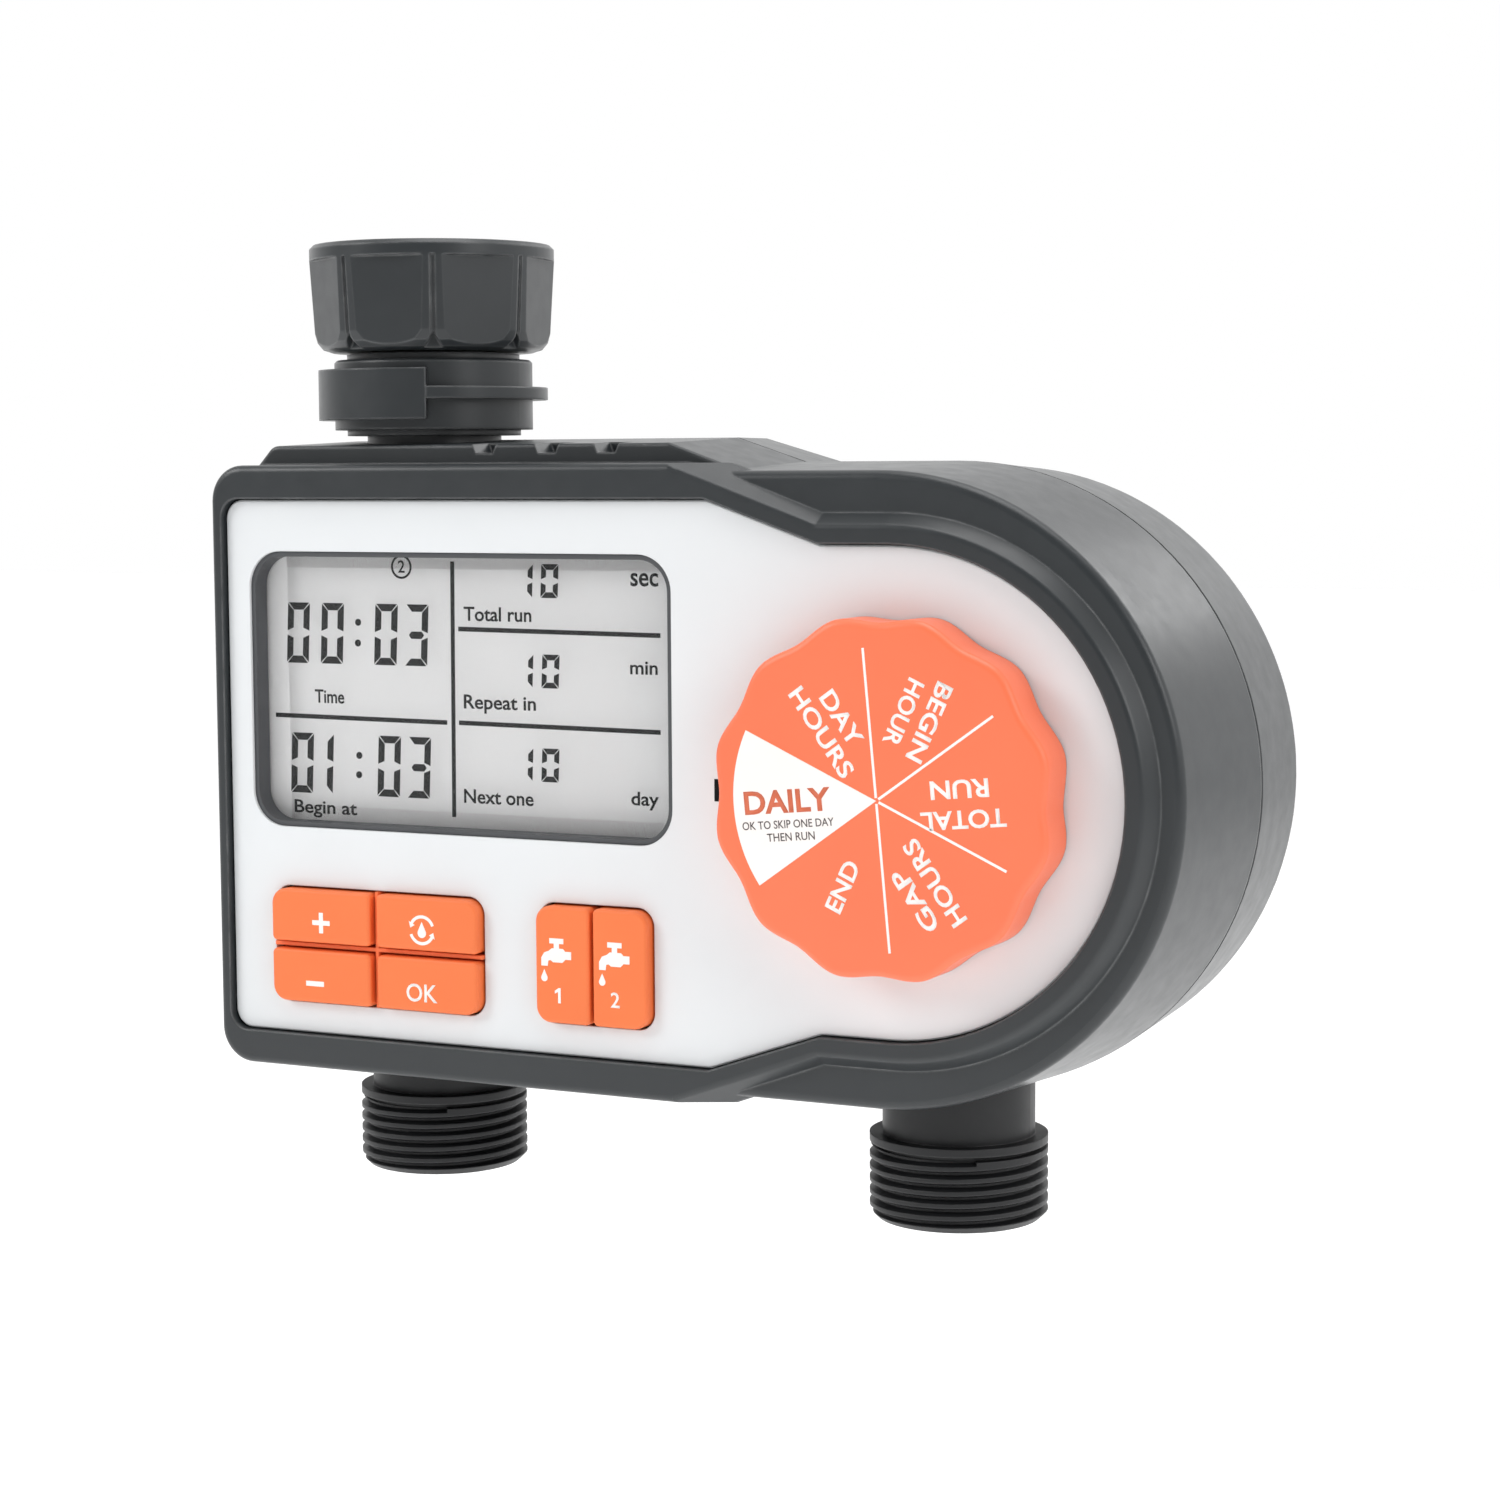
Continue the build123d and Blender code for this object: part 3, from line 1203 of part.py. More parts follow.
def coil_wires():
    """Two leads from each solenoid to the board."""
    wires = []
    for x, side in ((0, 1), (RIGHT_X, -1)):
        start = along(x, side, BONNET_THICK + COIL_START + 6)
        for k in (0, 1):
            x0 = start + side * 3 * k
            top = -COIL_R - YOKE_THICK - 1.2
            low = top - 8 - 2 * k
            points = ((x0, 0, top), (x0, 0, low + 4), (x0, -5, low), (x0, BOARD_BACK_Y, low))
            wires.append(wire(points, WIRE_R, WIRE_BEND))
    return Compound(wires)


def battery_wires():
    """Two leads from the battery well's floor to the board."""
    wires = []
    for k in (0, 1):
        x = RIGHT_X - PIPE_R - 9.5 + 3 * k
        z = -FLANGE_HALF_Z - 12
        middle = (WELL_FLOOR_Y + BOARD_BACK_Y) / 2
        points = (
            (x, WELL_FLOOR_Y, z),
            (x, middle + 4, z),
            (x, middle - 4, z - 5),
            (x, BOARD_BACK_Y, z - 5),
        )
        wires.append(wire(points, WIRE_R, WIRE_BEND))
    return Compound(wires)


NODES = {
    "front_shell": front_shell,
    "rear_shell": rear_shell,
    "shell_seal": shell_seal,
    "case_screws": case_screws,
    "front_panel": front_panel,
    "lcd_frame": lcd_frame,
    "lcd_lens": lcd_lens,
    "lcd_glass": lcd_glass,
    "lcd_connectors": lcd_connectors,
    "keypad_web": keypad_web,
    "tap_pad_web": lambda: web(TAP_PAD_LEFT, TAP_PAD_RIGHT, TAP_CELLS),
    "key_domes": key_domes,
    "circuit_board": circuit_board,
    "board_screws": board_screws,
    "dial_knob": dial_knob,
    "dial_shaft": dial_shaft,
    "dial_seal": dial_seal,
    "rotary_switch": rotary_switch,
    "rotary_wiper": rotary_wiper,
    "valve_body_left": valve_body_left,
    "valve_body_right": valve_body_right,
    "cross_pipe": cross_pipe,
    "cross_pipe_seals": cross_pipe_seals,
    "bonnet_screws": bonnet_screws,
    "swivel_nut": swivel_nut,
    "inlet_tailpiece": inlet_tailpiece,
    "inlet_collar": inlet_collar,
    "inlet_clamp_ring": inlet_clamp_ring,
    "inlet_seal": inlet_seal,
    "inlet_washer": inlet_washer,
    "inlet_screen": inlet_screen,
    "battery_1": lambda: battery(0),
    "battery_2": lambda: battery(1),
    "battery_tray": battery_tray,
    "battery_springs": battery_springs,
    "battery_contacts": battery_contacts,
    "battery_cover": battery_cover,
    "battery_seal": battery_seal,
    "coil_wires": coil_wires,
    "battery_wires": battery_wires,
}


def main():
    """Build every node."""
    os.makedirs("parts", exist_ok=True)
    for name, make in NODES.items():
        save(name, make())
    for name, cell in zip(LEFT_KEYS, LEFT_CELLS):
        save(name, key(cell, KEYPAD_LEFT, KEYPAD_RIGHT))
    for name, cell in zip(TAP_KEYS, TAP_CELLS):
        save(name, key(cell, TAP_PAD_LEFT, TAP_PAD_RIGHT))
    for place, x, side in (("left", 0, 1), ("right", RIGHT_X, -1)):
        save(f"valve_bonnet_{place}", bonnet(x, side))
        save(f"diaphragm_{place}", diaphragm(x, side))
        save(f"plunger_{place}", plunger(x, side))
        save(f"plunger_spring_{place}", plunger_spring(x, side))
        save(f"solenoid_coil_{place}", solenoid_coil(x, side))
        save(f"solenoid_yoke_{place}", solenoid_yoke(x, side))


main()
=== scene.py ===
"""Looks for the two-outlet drip irrigation timer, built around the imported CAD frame."""
import json
from math import cos, pi, radians, sin

import bmesh
import bpy
from mathutils import Matrix, Vector


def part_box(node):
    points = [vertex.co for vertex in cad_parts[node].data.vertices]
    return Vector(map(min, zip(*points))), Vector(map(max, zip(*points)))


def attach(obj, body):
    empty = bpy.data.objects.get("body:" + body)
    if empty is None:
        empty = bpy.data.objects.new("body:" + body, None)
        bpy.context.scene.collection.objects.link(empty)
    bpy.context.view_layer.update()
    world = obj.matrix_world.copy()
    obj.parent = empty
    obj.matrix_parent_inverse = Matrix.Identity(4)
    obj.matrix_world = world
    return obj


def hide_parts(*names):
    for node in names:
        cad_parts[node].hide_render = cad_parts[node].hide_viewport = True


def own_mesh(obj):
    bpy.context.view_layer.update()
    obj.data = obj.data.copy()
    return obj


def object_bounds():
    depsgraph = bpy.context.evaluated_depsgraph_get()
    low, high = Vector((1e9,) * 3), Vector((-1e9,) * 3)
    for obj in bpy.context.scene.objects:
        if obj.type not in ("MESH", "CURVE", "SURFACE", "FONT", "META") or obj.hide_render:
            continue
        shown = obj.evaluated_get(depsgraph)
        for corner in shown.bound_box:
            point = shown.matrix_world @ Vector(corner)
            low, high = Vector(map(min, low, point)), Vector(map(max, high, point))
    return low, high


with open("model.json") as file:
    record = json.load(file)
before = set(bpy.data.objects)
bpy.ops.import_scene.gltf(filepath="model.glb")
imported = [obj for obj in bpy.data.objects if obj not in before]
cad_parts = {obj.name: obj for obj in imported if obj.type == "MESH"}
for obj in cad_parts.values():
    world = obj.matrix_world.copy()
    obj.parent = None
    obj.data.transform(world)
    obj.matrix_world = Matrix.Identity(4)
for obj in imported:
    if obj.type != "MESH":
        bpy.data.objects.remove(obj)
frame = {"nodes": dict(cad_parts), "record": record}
cad_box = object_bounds()

MM = 0.001

# ---- camera: named values worked out for the view of the front panel ----
LENS = 74.15
AZIMUTH = radians(26.206)
ELEVATION = radians(5.301)
ROLL = radians(-0.335)
DISTANCE = 0.44284
AIM_RIGHT = 0.01684
AIM_UP = 0.00555


def place_camera():
    """Camera aimed a little right of and above the middle of the front panel."""
    low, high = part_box("front_panel")
    middle = (low + high) / 2
    aim = Vector((middle.x + AIM_RIGHT, low.y, middle.z + AIM_UP))
    level = cos(ELEVATION)
    forward = Vector((-sin(AZIMUTH) * level, cos(AZIMUTH) * level, -sin(ELEVATION)))
    right = Vector((cos(AZIMUTH), sin(AZIMUTH), 0.0))
    up = right.cross(forward)
    side = right * cos(ROLL) + up * sin(ROLL)
    top = up * cos(ROLL) - right * sin(ROLL)
    data = bpy.data.cameras.new("camera")
    data.lens = LENS
    data.sensor_width = 36.0
    camera = bpy.data.objects.new("camera", data)
    bpy.context.scene.collection.objects.link(camera)
    place = aim - forward * DISTANCE
    rows = [(side[i], top[i], -forward[i], place[i]) for i in range(3)]
    camera.matrix_world = Matrix((*rows, (0, 0, 0, 1)))
    bpy.context.scene.camera = camera


# ---- studio ----
FRONT_GLOW = 0.30
BACK_GLOW = 1.15
FRONT_SIDE = -0.75
BACK_SIDE = 0.35
FLOOR_DROP = 0.16
FLOOR_HALF = 6.0
FLOOR_GLOW = 0.25
# name, place from the middle of the object in metres, size in metres, power in watts
LIGHTS = (
    ("top_softbox", (0.10, -0.10, 1.00), 0.70, 5.0),
    ("left_softbox", (-0.85, -0.75, 0.60), 0.50, 6.5),
    ("right_softbox", (1.00, -0.35, 0.45), 0.50, 3.2),
    ("back_softbox", (0.55, 0.95, 0.75), 0.70, 4.0),
)


def surroundings(tree):
    """White behind the object; for lighting it is dimmer in front than behind and above."""
    background = tree.nodes["Background"]
    background.inputs["Strength"].default_value = 1.0
    coords = tree.nodes.new("ShaderNodeTexCoord")
    split = tree.nodes.new("ShaderNodeSeparateXYZ")
    tree.links.new(coords.outputs["Generated"], split.inputs["Vector"])
    ramp = tree.nodes.new("ShaderNodeMapRange")
    ramp.interpolation_type = "SMOOTHSTEP"
    ramp.inputs["From Min"].default_value = FRONT_SIDE
    ramp.inputs["From Max"].default_value = BACK_SIDE
    ramp.inputs["To Min"].default_value = FRONT_GLOW
    ramp.inputs["To Max"].default_value = BACK_GLOW
    tree.links.new(split.outputs["Y"], ramp.inputs["Value"])
    direct = tree.nodes.new("ShaderNodeLightPath")
    pick = tree.nodes.new("ShaderNodeMix")
    pick.data_type = "FLOAT"
    tree.links.new(direct.outputs["Is Camera Ray"], pick.inputs["Factor"])
    tree.links.new(ramp.outputs["Result"], pick.inputs["A"])
    pick.inputs["B"].default_value = 1.0
    tree.links.new(pick.outputs["Result"], background.inputs["Color"])


def studio():
    """White surroundings, four softboxes and a pale floor below the object."""
    scene = bpy.context.scene
    scene.view_settings.view_transform = "Standard"
    world = bpy.data.worlds.new("studio")
    scene.world = world
    world.use_nodes = True
    surroundings(world.node_tree)
    low, high = cad_box
    middle = (Vector(low) + Vector(high)) / 2
    for name, place, size, power in LIGHTS:
        data = bpy.data.lights.new(name, "AREA")
        data.size = size
        data.energy = power
        lamp = bpy.data.objects.new(name, data)
        lamp.location = middle + Vector(place)
        lamp.rotation_euler = (-Vector(place)).to_track_quat("-Z", "Y").to_euler()
        lamp.visible_camera = False
        scene.collection.objects.link(lamp)
    pale_floor(low[2] - FLOOR_DROP)


def pale_floor(z):
    """A wide matt floor at the given height."""
    mesh = bpy.data.meshes.new("floor")
    half = FLOOR_HALF
    corners = [(-half, -half, z), (half, -half, z), (half, half, z), (-half, half, z)]
    mesh.from_pydata(corners, [], [(0, 1, 2, 3)])
    floor = bpy.data.objects.new("floor", mesh)
    bpy.context.scene.collection.objects.link(floor)
    material = bpy.data.materials.new("pale_floor")
    material.use_nodes = True
    shader = material.node_tree.nodes["Principled BSDF"]
    shader.inputs["Base Color"].default_value = (0.9, 0.9, 0.9, 1)
    shader.inputs["Roughness"].default_value = 0.8
    shader.inputs["Emission Color"].default_value = (1, 1, 1, 1)
    shader.inputs["Emission Strength"].default_value = FLOOR_GLOW
    mesh.materials.append(material)


# ---- materials: colours are linear, sizes and bump depths are in metres ----
EDGE_BLUNT = 0.90
EDGE_FLAT = 0.995
CLOUD_SIZE = 0.018
# Size of the patches in the lightened edges, which are partly rubbed wear and partly painted
# highlight.
WEAR_AND_HIGHLIGHT_PATCH_SIZE = 0.004
GLOSS_SIZE = 0.003
LCD_DOT = 0.0004
TRACK_SIZE = 0.006
WIRE_SIZE = 0.0016
SLEEVE_SPLIT = 0.70
SLEEVE_BLUR = 0.0002


def tint(colour, factor):
    """A colour made lighter or darker, as RGBA."""
    return tuple(min(1.0, channel * factor) for channel in colour[:3]) + (1.0,)


class Build:
    """A small helper that adds and joins shader nodes."""

    def __init__(self, name):
        self.material = bpy.data.materials.new(name)
        self.material.use_nodes = True
        self.tree = self.material.node_tree
        self.shader = self.tree.nodes["Principled BSDF"]
        self.coords = self.add("ShaderNodeTexCoord").outputs["Object"]

    def add(self, kind, **settings):
        """Add a node, and set attributes on it."""
        made = self.tree.nodes.new(kind)
        for key, value in settings.items():
            setattr(made, key, value)
        return made

    def join(self, source, target):
        """Link one socket to another."""
        self.tree.links.new(source, target)

    def noise(self, size, detail=3.0, stretch=None):
        """Noise whose features are about `size` metres across."""
        made = self.add("ShaderNodeTexNoise")
        made.inputs["Scale"].default_value = 1 / size
        made.inputs["Detail"].default_value = detail
        if stretch is None:
            self.join(self.coords, made.inputs["Vector"])
        else:
            mapping = self.add("ShaderNodeMapping")
            mapping.inputs["Scale"].default_value = stretch
            self.join(self.coords, mapping.inputs["Vector"])
            self.join(mapping.outputs["Vector"], made.inputs["Vector"])
        return made.outputs["Fac"]

    def spread(self, source, low, high, start=0.3, end=0.7):
        """Map the middle of a noise to the range low to high."""
        made = self.add("ShaderNodeMapRange")
        made.inputs["From Min"].default_value = start
        made.inputs["From Max"].default_value = end
        made.inputs["To Min"].default_value = low
        made.inputs["To Max"].default_value = high
        self.join(source, made.inputs["Value"])
        return made.outputs["Result"]

    def blend(self, factor, first, second):
        """Mix two colours, each a socket or a value."""
        made = self.add("ShaderNodeMix", data_type="RGBA")
        self.join(factor, made.inputs["Factor"])
        for socket, value in ((made.inputs[6], first), (made.inputs[7], second)):
            if isinstance(value, bpy.types.NodeSocket):
                self.join(value, socket)
            else:
                socket.default_value = value
        return made.outputs[2]

    def edges(self, radius):
        """A mask that is 1 along edges sharper than the radius, and the rounded normal."""
        bevel = self.add("ShaderNodeBevel", samples=4)
        bevel.inputs["Radius"].default_value = radius
        normal = self.add("ShaderNodeNewGeometry").outputs["Normal"]
        dot = self.add("ShaderNodeVectorMath", operation="DOT_PRODUCT")
        self.join(bevel.outputs["Normal"], dot.inputs[0])
        self.join(normal, dot.inputs[1])
        mask = self.spread(dot.outputs["Value"], 1.0, 0.0, EDGE_BLUNT, EDGE_FLAT)
        return mask, bevel.outputs["Normal"]

    def bump(self, height, distance, strength, normal=None):
        """Bump from a height socket, on top of another normal."""
        made = self.add("ShaderNodeBump")
        made.inputs["Strength"].default_value = strength
        made.inputs["Distance"].default_value = distance
        self.join(height, made.inputs["Height"])
        if normal is not None:
            self.join(normal, made.inputs["Normal"])
        return made.outputs["Normal"]

    def set(self, **values):
        """Set the shader's own sockets; underscores in a name stand for spaces."""
        for key, value in values.items():
            self.shader.inputs[key.replace("_", " ")].default_value = value
        return self


def moulded(name, colour, rough, grain=0.0005, depth=0.00001, strength=0.35,
            wear_and_highlight=0.25, radius=0.0003, vary=0.06, wear_and_highlight_lift=0.06):
    """Moulded plastic or rubber: clouded colour, uneven gloss, fine grain, and edges lightened in
    patches, partly as rubbed wear and partly as painted highlight.
    """
    b = Build(name)
    clouds = b.noise(CLOUD_SIZE, 2.0)
    base = b.blend(b.spread(clouds, 0, 1), tint(colour, 1 - vary), tint(colour, 1 + vary))
    mask, rounded = b.edges(radius)
    patchy = b.spread(b.noise(WEAR_AND_HIGHLIGHT_PATCH_SIZE, 4.0), 0.25, 1.0)
    rubbed_and_highlit_edges = b.add("ShaderNodeMath", operation="MULTIPLY")
    b.join(mask, rubbed_and_highlit_edges.inputs[0])
    b.join(patchy, rubbed_and_highlit_edges.inputs[1])
    share = b.add("ShaderNodeMath", operation="MULTIPLY")
    b.join(rubbed_and_highlit_edges.outputs[0], share.inputs[0])
    share.inputs[1].default_value = wear_and_highlight
    # Lighter edge colour: partly rubbed wear, partly a painted highlight along the edges.
    wear_and_highlight_colour = tuple(min(1.0, c * 1.25 + wear_and_highlight_lift) for c in colour[:3]) + (1.0,)
    b.join(b.blend(share.outputs[0], base, wear_and_highlight_colour), b.shader.inputs["Base Color"])
    gloss = b.spread(b.noise(GLOSS_SIZE, 5.0), rough - 0.025, rough + 0.035)
    b.join(gloss, b.shader.inputs["Roughness"])
    fine = b.noise(grain, 2.0)
    b.join(b.bump(fine, depth, strength, rounded), b.shader.inputs["Normal"])
    return b


def metal(name, colour, rough, stretch=(1, 1, 12), size=0.0015):
    """Drawn or plated metal with fine lines and dull patches."""
    b = Build(name)
    lines = b.noise(size, 6.0, stretch)
    patches = b.noise(0.003, 3.0)
    base = b.blend(b.spread(patches, 0, 1), tint(colour, 0.82), tint(colour, 1.08))
    b.join(base, b.shader.inputs["Base Color"])
    b.join(b.spread(lines, rough - 0.08, rough + 0.12), b.shader.inputs["Roughness"])
    b.join(b.bump(lines, 0.00001, 0.3), b.shader.inputs["Normal"])
    return b.set(Metallic=1.0)


def display_cell(name):
    """The grey face of the display, with a faint pattern of tiny cells."""
    b = Build(name)
    cells = b.add("ShaderNodeTexVoronoi")
    cells.inputs["Scale"].default_value = 1 / LCD_DOT
    b.join(b.coords, cells.inputs["Vector"])
    tone = b.spread(cells.outputs["Distance"], 0.0, 1.0, 0.0, 1.0)
    grey = b.blend(tone, (0.83, 0.83, 0.83, 1), (0.80, 0.80, 0.805, 1))
    b.join(grey, b.shader.inputs["Base Color"])
    b.join(b.spread(b.noise(0.01), 0.28, 0.4), b.shader.inputs["Roughness"])
    b.join(b.bump(cells.outputs["Distance"], 0.000005, 0.15), b.shader.inputs["Normal"])
    return b


def clear_lens(name):
    """Thin clear plate."""
    b = Build(name)
    b.join(b.spread(b.noise(0.012, 4.0), 0.03, 0.09), b.shader.inputs["Roughness"])
    clear = b.blend(b.noise(0.02), (0.92, 0.95, 0.95, 1), (0.97, 0.98, 0.98, 1))
    b.join(clear, b.shader.inputs["Base Color"])
    return b.set(Alpha=0.035, IOR=1.49)


def solder_mask(name):
    """Green circuit board with tracks and pads."""
    b = Build(name)
    tracks = b.add("ShaderNodeTexBrick", offset=0.5)
    tracks.inputs["Scale"].default_value = 1 / TRACK_SIZE
    tracks.inputs["Mortar Size"].default_value = 0.05
    turn = b.add("ShaderNodeMapping")
    turn.inputs["Rotation"].default_value = (pi / 2, 0, 0)
    b.join(b.coords, turn.inputs["Vector"])
    b.join(turn.outputs["Vector"], tracks.inputs["Vector"])
    green = b.blend(b.spread(b.noise(0.01), 0, 1), (0.010, 0.11, 0.035, 1), (0.016, 0.15, 0.05, 1))
    base = b.blend(tracks.outputs["Fac"], green, (0.05, 0.26, 0.09, 1))
    b.join(base, b.shader.inputs["Base Color"])
    b.join(b.spread(b.noise(0.004), 0.3, 0.45), b.shader.inputs["Roughness"])
    b.join(b.bump(tracks.outputs["Fac"], 0.00004, 0.5), b.shader.inputs["Normal"])
    return b


def cell_sleeve(name):
    """Printed battery sleeve: dark body with a warm metallic band at one end."""
    b = Build(name)
    low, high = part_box("battery_1")
    split = b.add("ShaderNodeSeparateXYZ")
    b.join(b.coords, split.inputs["Vector"])
    band_z = low.z + (high.z - low.z) * SLEEVE_SPLIT
    band = b.spread(split.outputs["Z"], 0.0, 1.0, band_z - SLEEVE_BLUR, band_z + SLEEVE_BLUR)
    dark = b.blend(b.spread(b.noise(0.02), 0, 1), (0.012, 0.035, 0.10, 1), (0.018, 0.05, 0.14, 1))
    b.join(b.blend(band, dark, (0.72, 0.30, 0.09, 1)), b.shader.inputs["Base Color"])
    b.join(b.spread(b.noise(0.005), 0.22, 0.34), b.shader.inputs["Roughness"])
    return b.set(Metallic=0.6)


def winding(name):
    """Varnished copper wire, wound closely, with painted shade in the grooves between turns."""
    b = Build(name)
    wave = b.add("ShaderNodeTexWave", bands_direction="X")
    wave.inputs["Scale"].default_value = 1 / WIRE_SIZE
    b.join(b.coords, wave.inputs["Vector"])
    # The copper is darker where the wave is low, in the grooves between turns where the bump sinks:
    # painted shade.
    copper = b.blend(wave.outputs["Fac"], (0.28, 0.07, 0.02, 1), (0.72, 0.27, 0.10, 1))
    b.join(copper, b.shader.inputs["Base Color"])
    b.join(b.bump(wave.outputs["Fac"], 0.00015, 0.8), b.shader.inputs["Normal"])
    b.join(b.spread(b.noise(0.003), 0.25, 0.4), b.shader.inputs["Roughness"])
    return b.set(Metallic=0.9)


SLATE = (0.0190, 0.0225, 0.0250)
WHITE = (0.715, 0.735, 0.748)
ORANGE = (0.86, 0.168, 0.070)
KEY_ORANGE = (0.82, 0.172, 0.042)
# The key web is the same rubber as the keys, painted lighter than them to offset the shade in the
# gaps between keys: painted light.
WEB_ORANGE_WITH_PAINTED_LIGHT = (0.95, 0.19, 0.055)
PIPE_BLACK = (0.0105, 0.0110, 0.0120)
PRINT_WHITE = (0.88, 0.83, 0.80)
INK = (0.003, 0.003, 0.0035)
SPECULAR = (("pipe", 0.35), ("case", 0.5), ("print_black", 0.12), ("lens", 0.3), ("panel", 0.3))


def make_materials():
    """One material for each slot of the record."""
    made = {
        # The case and pipe get the most lightened edges: partly rubbed wear, partly painted
        # highlight lines along their edges.
        "case": moulded("case", SLATE, 0.34, depth=0.000012, wear_and_highlight=0.75, radius=0.0005, wear_and_highlight_lift=0.20),
        "panel": moulded("panel", WHITE, 0.42, depth=0.000004, wear_and_highlight=0.0, vary=0.012),
        "key": moulded("key", KEY_ORANGE, 0.50, depth=0.000010, wear_and_highlight=0.12, vary=0.03),
        "key_web": moulded("key_web", WEB_ORANGE_WITH_PAINTED_LIGHT, 0.55, depth=0.000010, wear_and_highlight=0.1, vary=0.04),
        "dial": moulded("dial", ORANGE, 0.38, depth=0.000006, wear_and_highlight=0.15, radius=0.0005, vary=0.025),
        "frame": moulded("frame", (0.06, 0.063, 0.068), 0.5, wear_and_highlight=0.2),
        "lens": clear_lens("lens"),
        "lcd": display_cell("lcd"),
        "pipe": moulded("pipe", PIPE_BLACK, 0.44, depth=0.000015, wear_and_highlight=0.5, wear_and_highlight_lift=0.10),
        "seal": moulded("seal", (0.014, 0.014, 0.015), 0.6, wear_and_highlight=0.1),
        "diaphragm": moulded("diaphragm", (0.085, 0.03, 0.018), 0.6, wear_and_highlight=0.1),
        "steel": metal("steel", (0.58, 0.58, 0.57), 0.32),
        "stainless": metal("stainless", (0.63, 0.62, 0.61), 0.28),
        "copper": winding("copper"),
        "board": solder_mask("board"),
        "contact_rubber": moulded("contact_rubber", (0.40, 0.12, 0.22), 0.6, wear_and_highlight=0.1),
        "cell": cell_sleeve("cell"),
        "tray": moulded("tray", (0.035, 0.036, 0.04), 0.45, wear_and_highlight=0.2),
        "wire": moulded("wire", (0.42, 0.02, 0.018), 0.4, wear_and_highlight=0.1),
        "switch": moulded("switch", (0.72, 0.71, 0.66), 0.4, wear_and_highlight=0.1, vary=0.03),
        "print_black": moulded("print_black", INK, 0.45, wear_and_highlight=0.0, radius=0.0001),
        "print_white": moulded("print_white", PRINT_WHITE, 0.45, wear_and_highlight=0.0, radius=0.0001,
                               vary=0.02),
        "print_brown": moulded("print_brown", (0.62, 0.13, 0.055), 0.45, wear_and_highlight=0.0, radius=0.0001),
        "print_grey": moulded("print_grey", (0.09, 0.075, 0.075), 0.45, wear_and_highlight=0.0, radius=0.0001),
    }
    for slot, level in SPECULAR:
        made[slot].shader.inputs["Specular IOR Level"].default_value = level
    return {slot: b.material for slot, b in made.items()}


def dress_nodes(materials):
    """Give every CAD node the material of its slot."""
    slots = {part["node"]: part["material_slot"] for part in frame["record"]["subparts"]}
    for name, node in frame["nodes"].items():
        if not node.material_slots:
            node.data.materials.append(materials[slots[name]])
        for place in node.material_slots:
            place.material = materials[slots[name]]


def plunger_springs():
    """Copies of the CAD springs, riding on the case in place of the originals."""
    for place in ("left", "right"):
        node = "plunger_spring_" + place
        piece = bpy.data.objects.new("lift_spring_" + place, frame["nodes"][node].data.copy())
        bpy.context.scene.collection.objects.link(piece)
        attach(piece, "case")
        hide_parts(node)
        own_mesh(piece)


# ---- flat prints ----
PRINT_THICK = 0.05
PRINT_SINK = 0.03
PRINT_PROUD = PRINT_THICK - PRINT_SINK


def print_on(name, outlines, x, z, y, body, material, slot, turn=0.0, thick=PRINT_THICK):
    """A thin print of outlines in mm about (x, z), raised from a face at y that looks to -Y."""
    mesh = bmesh.new()
    for outline in outlines:
        loops = outline if isinstance(outline[0][0], (tuple, list)) else [outline]
        fill_loops(mesh, loops, thick)
    finish_print(name, mesh, x, z, y, body, material, turn)


def fill_loops(mesh, loops, thick):
    """Add one flat plate: an outer loop, and with two loops a ring between them."""
    front = [[mesh.verts.new((px, -thick, pz)) for px, pz in loop] for loop in loops]
    back = [[mesh.verts.new((px, 0.0, pz)) for px, pz in loop] for loop in loops]
    for layer, flip in ((front, False), (back, True)):
        if len(layer) == 1:
            mesh.faces.new(layer[0][::-1] if flip else layer[0])
        else:
            outer, inner = layer
            count = len(outer)
            for k in range(count):
                quad = (outer[k], outer[(k + 1) % count], inner[(k + 1) % count], inner[k])
                mesh.faces.new(quad[::-1] if flip else quad)
    for near, far in zip(front, back):
        count = len(near)
        for k in range(count):
            mesh.faces.new((near[k], far[k], far[(k + 1) % count], near[(k + 1) % count]))


def finish_print(name, mesh, x, z, y, body, material, turn):
    """Turn, scale and place a print, and let it ride on its body."""
    bmesh.ops.recalc_face_normals(mesh, faces=mesh.faces)
    spin = Matrix.Rotation(-turn, 4, "Y")
    mesh.transform(Matrix.Translation((x, y + PRINT_SINK * MM, z)) @ spin @ Matrix.Scale(MM, 4))
    data = bpy.data.meshes.new(name)
    mesh.to_mesh(data)
    mesh.free()
    piece = bpy.data.objects.new(name, data)
    bpy.context.scene.collection.objects.link(piece)
    data.materials.append(material)
    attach(piece, body)
    return piece


def bar(x0, z0, x1, z1):
    """A rectangle between two corners."""
    return [(x0, z0), (x1, z0), (x1, z1), (x0, z1)]


def stroke(start, end, width):
    """A straight line of a given width."""
    direction = (Vector(end) - Vector(start)).normalized()
    side = Vector((-direction.y, direction.x)) * width / 2
    a, b = Vector(start), Vector(end)
    return [tuple(a - side), tuple(b - side), tuple(b + side), tuple(a + side)]


def arc(cx, cz, r, start, end, steps=24):
    """Points on a circle between two angles in degrees."""
    points = []
    for k in range(steps + 1):
        angle = radians(start + (end - start) * k / steps)
        points.append((cx + r * cos(angle), cz + r * sin(angle)))
    return points


def disc(cx, cz, r, steps=24):
    """A round dot."""
    return arc(cx, cz, r, 0, 360, steps)[:-1]


def circle_ring(cx, cz, outer, inner):
    """A ring, as an outer and an inner loop."""
    return [disc(cx, cz, outer, 32), disc(cx, cz, inner, 32)]


def drop(cx, cz, r, tip):
    """A water drop with its tip above."""
    return [(cx, cz + tip)] + arc(cx, cz, r, 150, 390, 20)


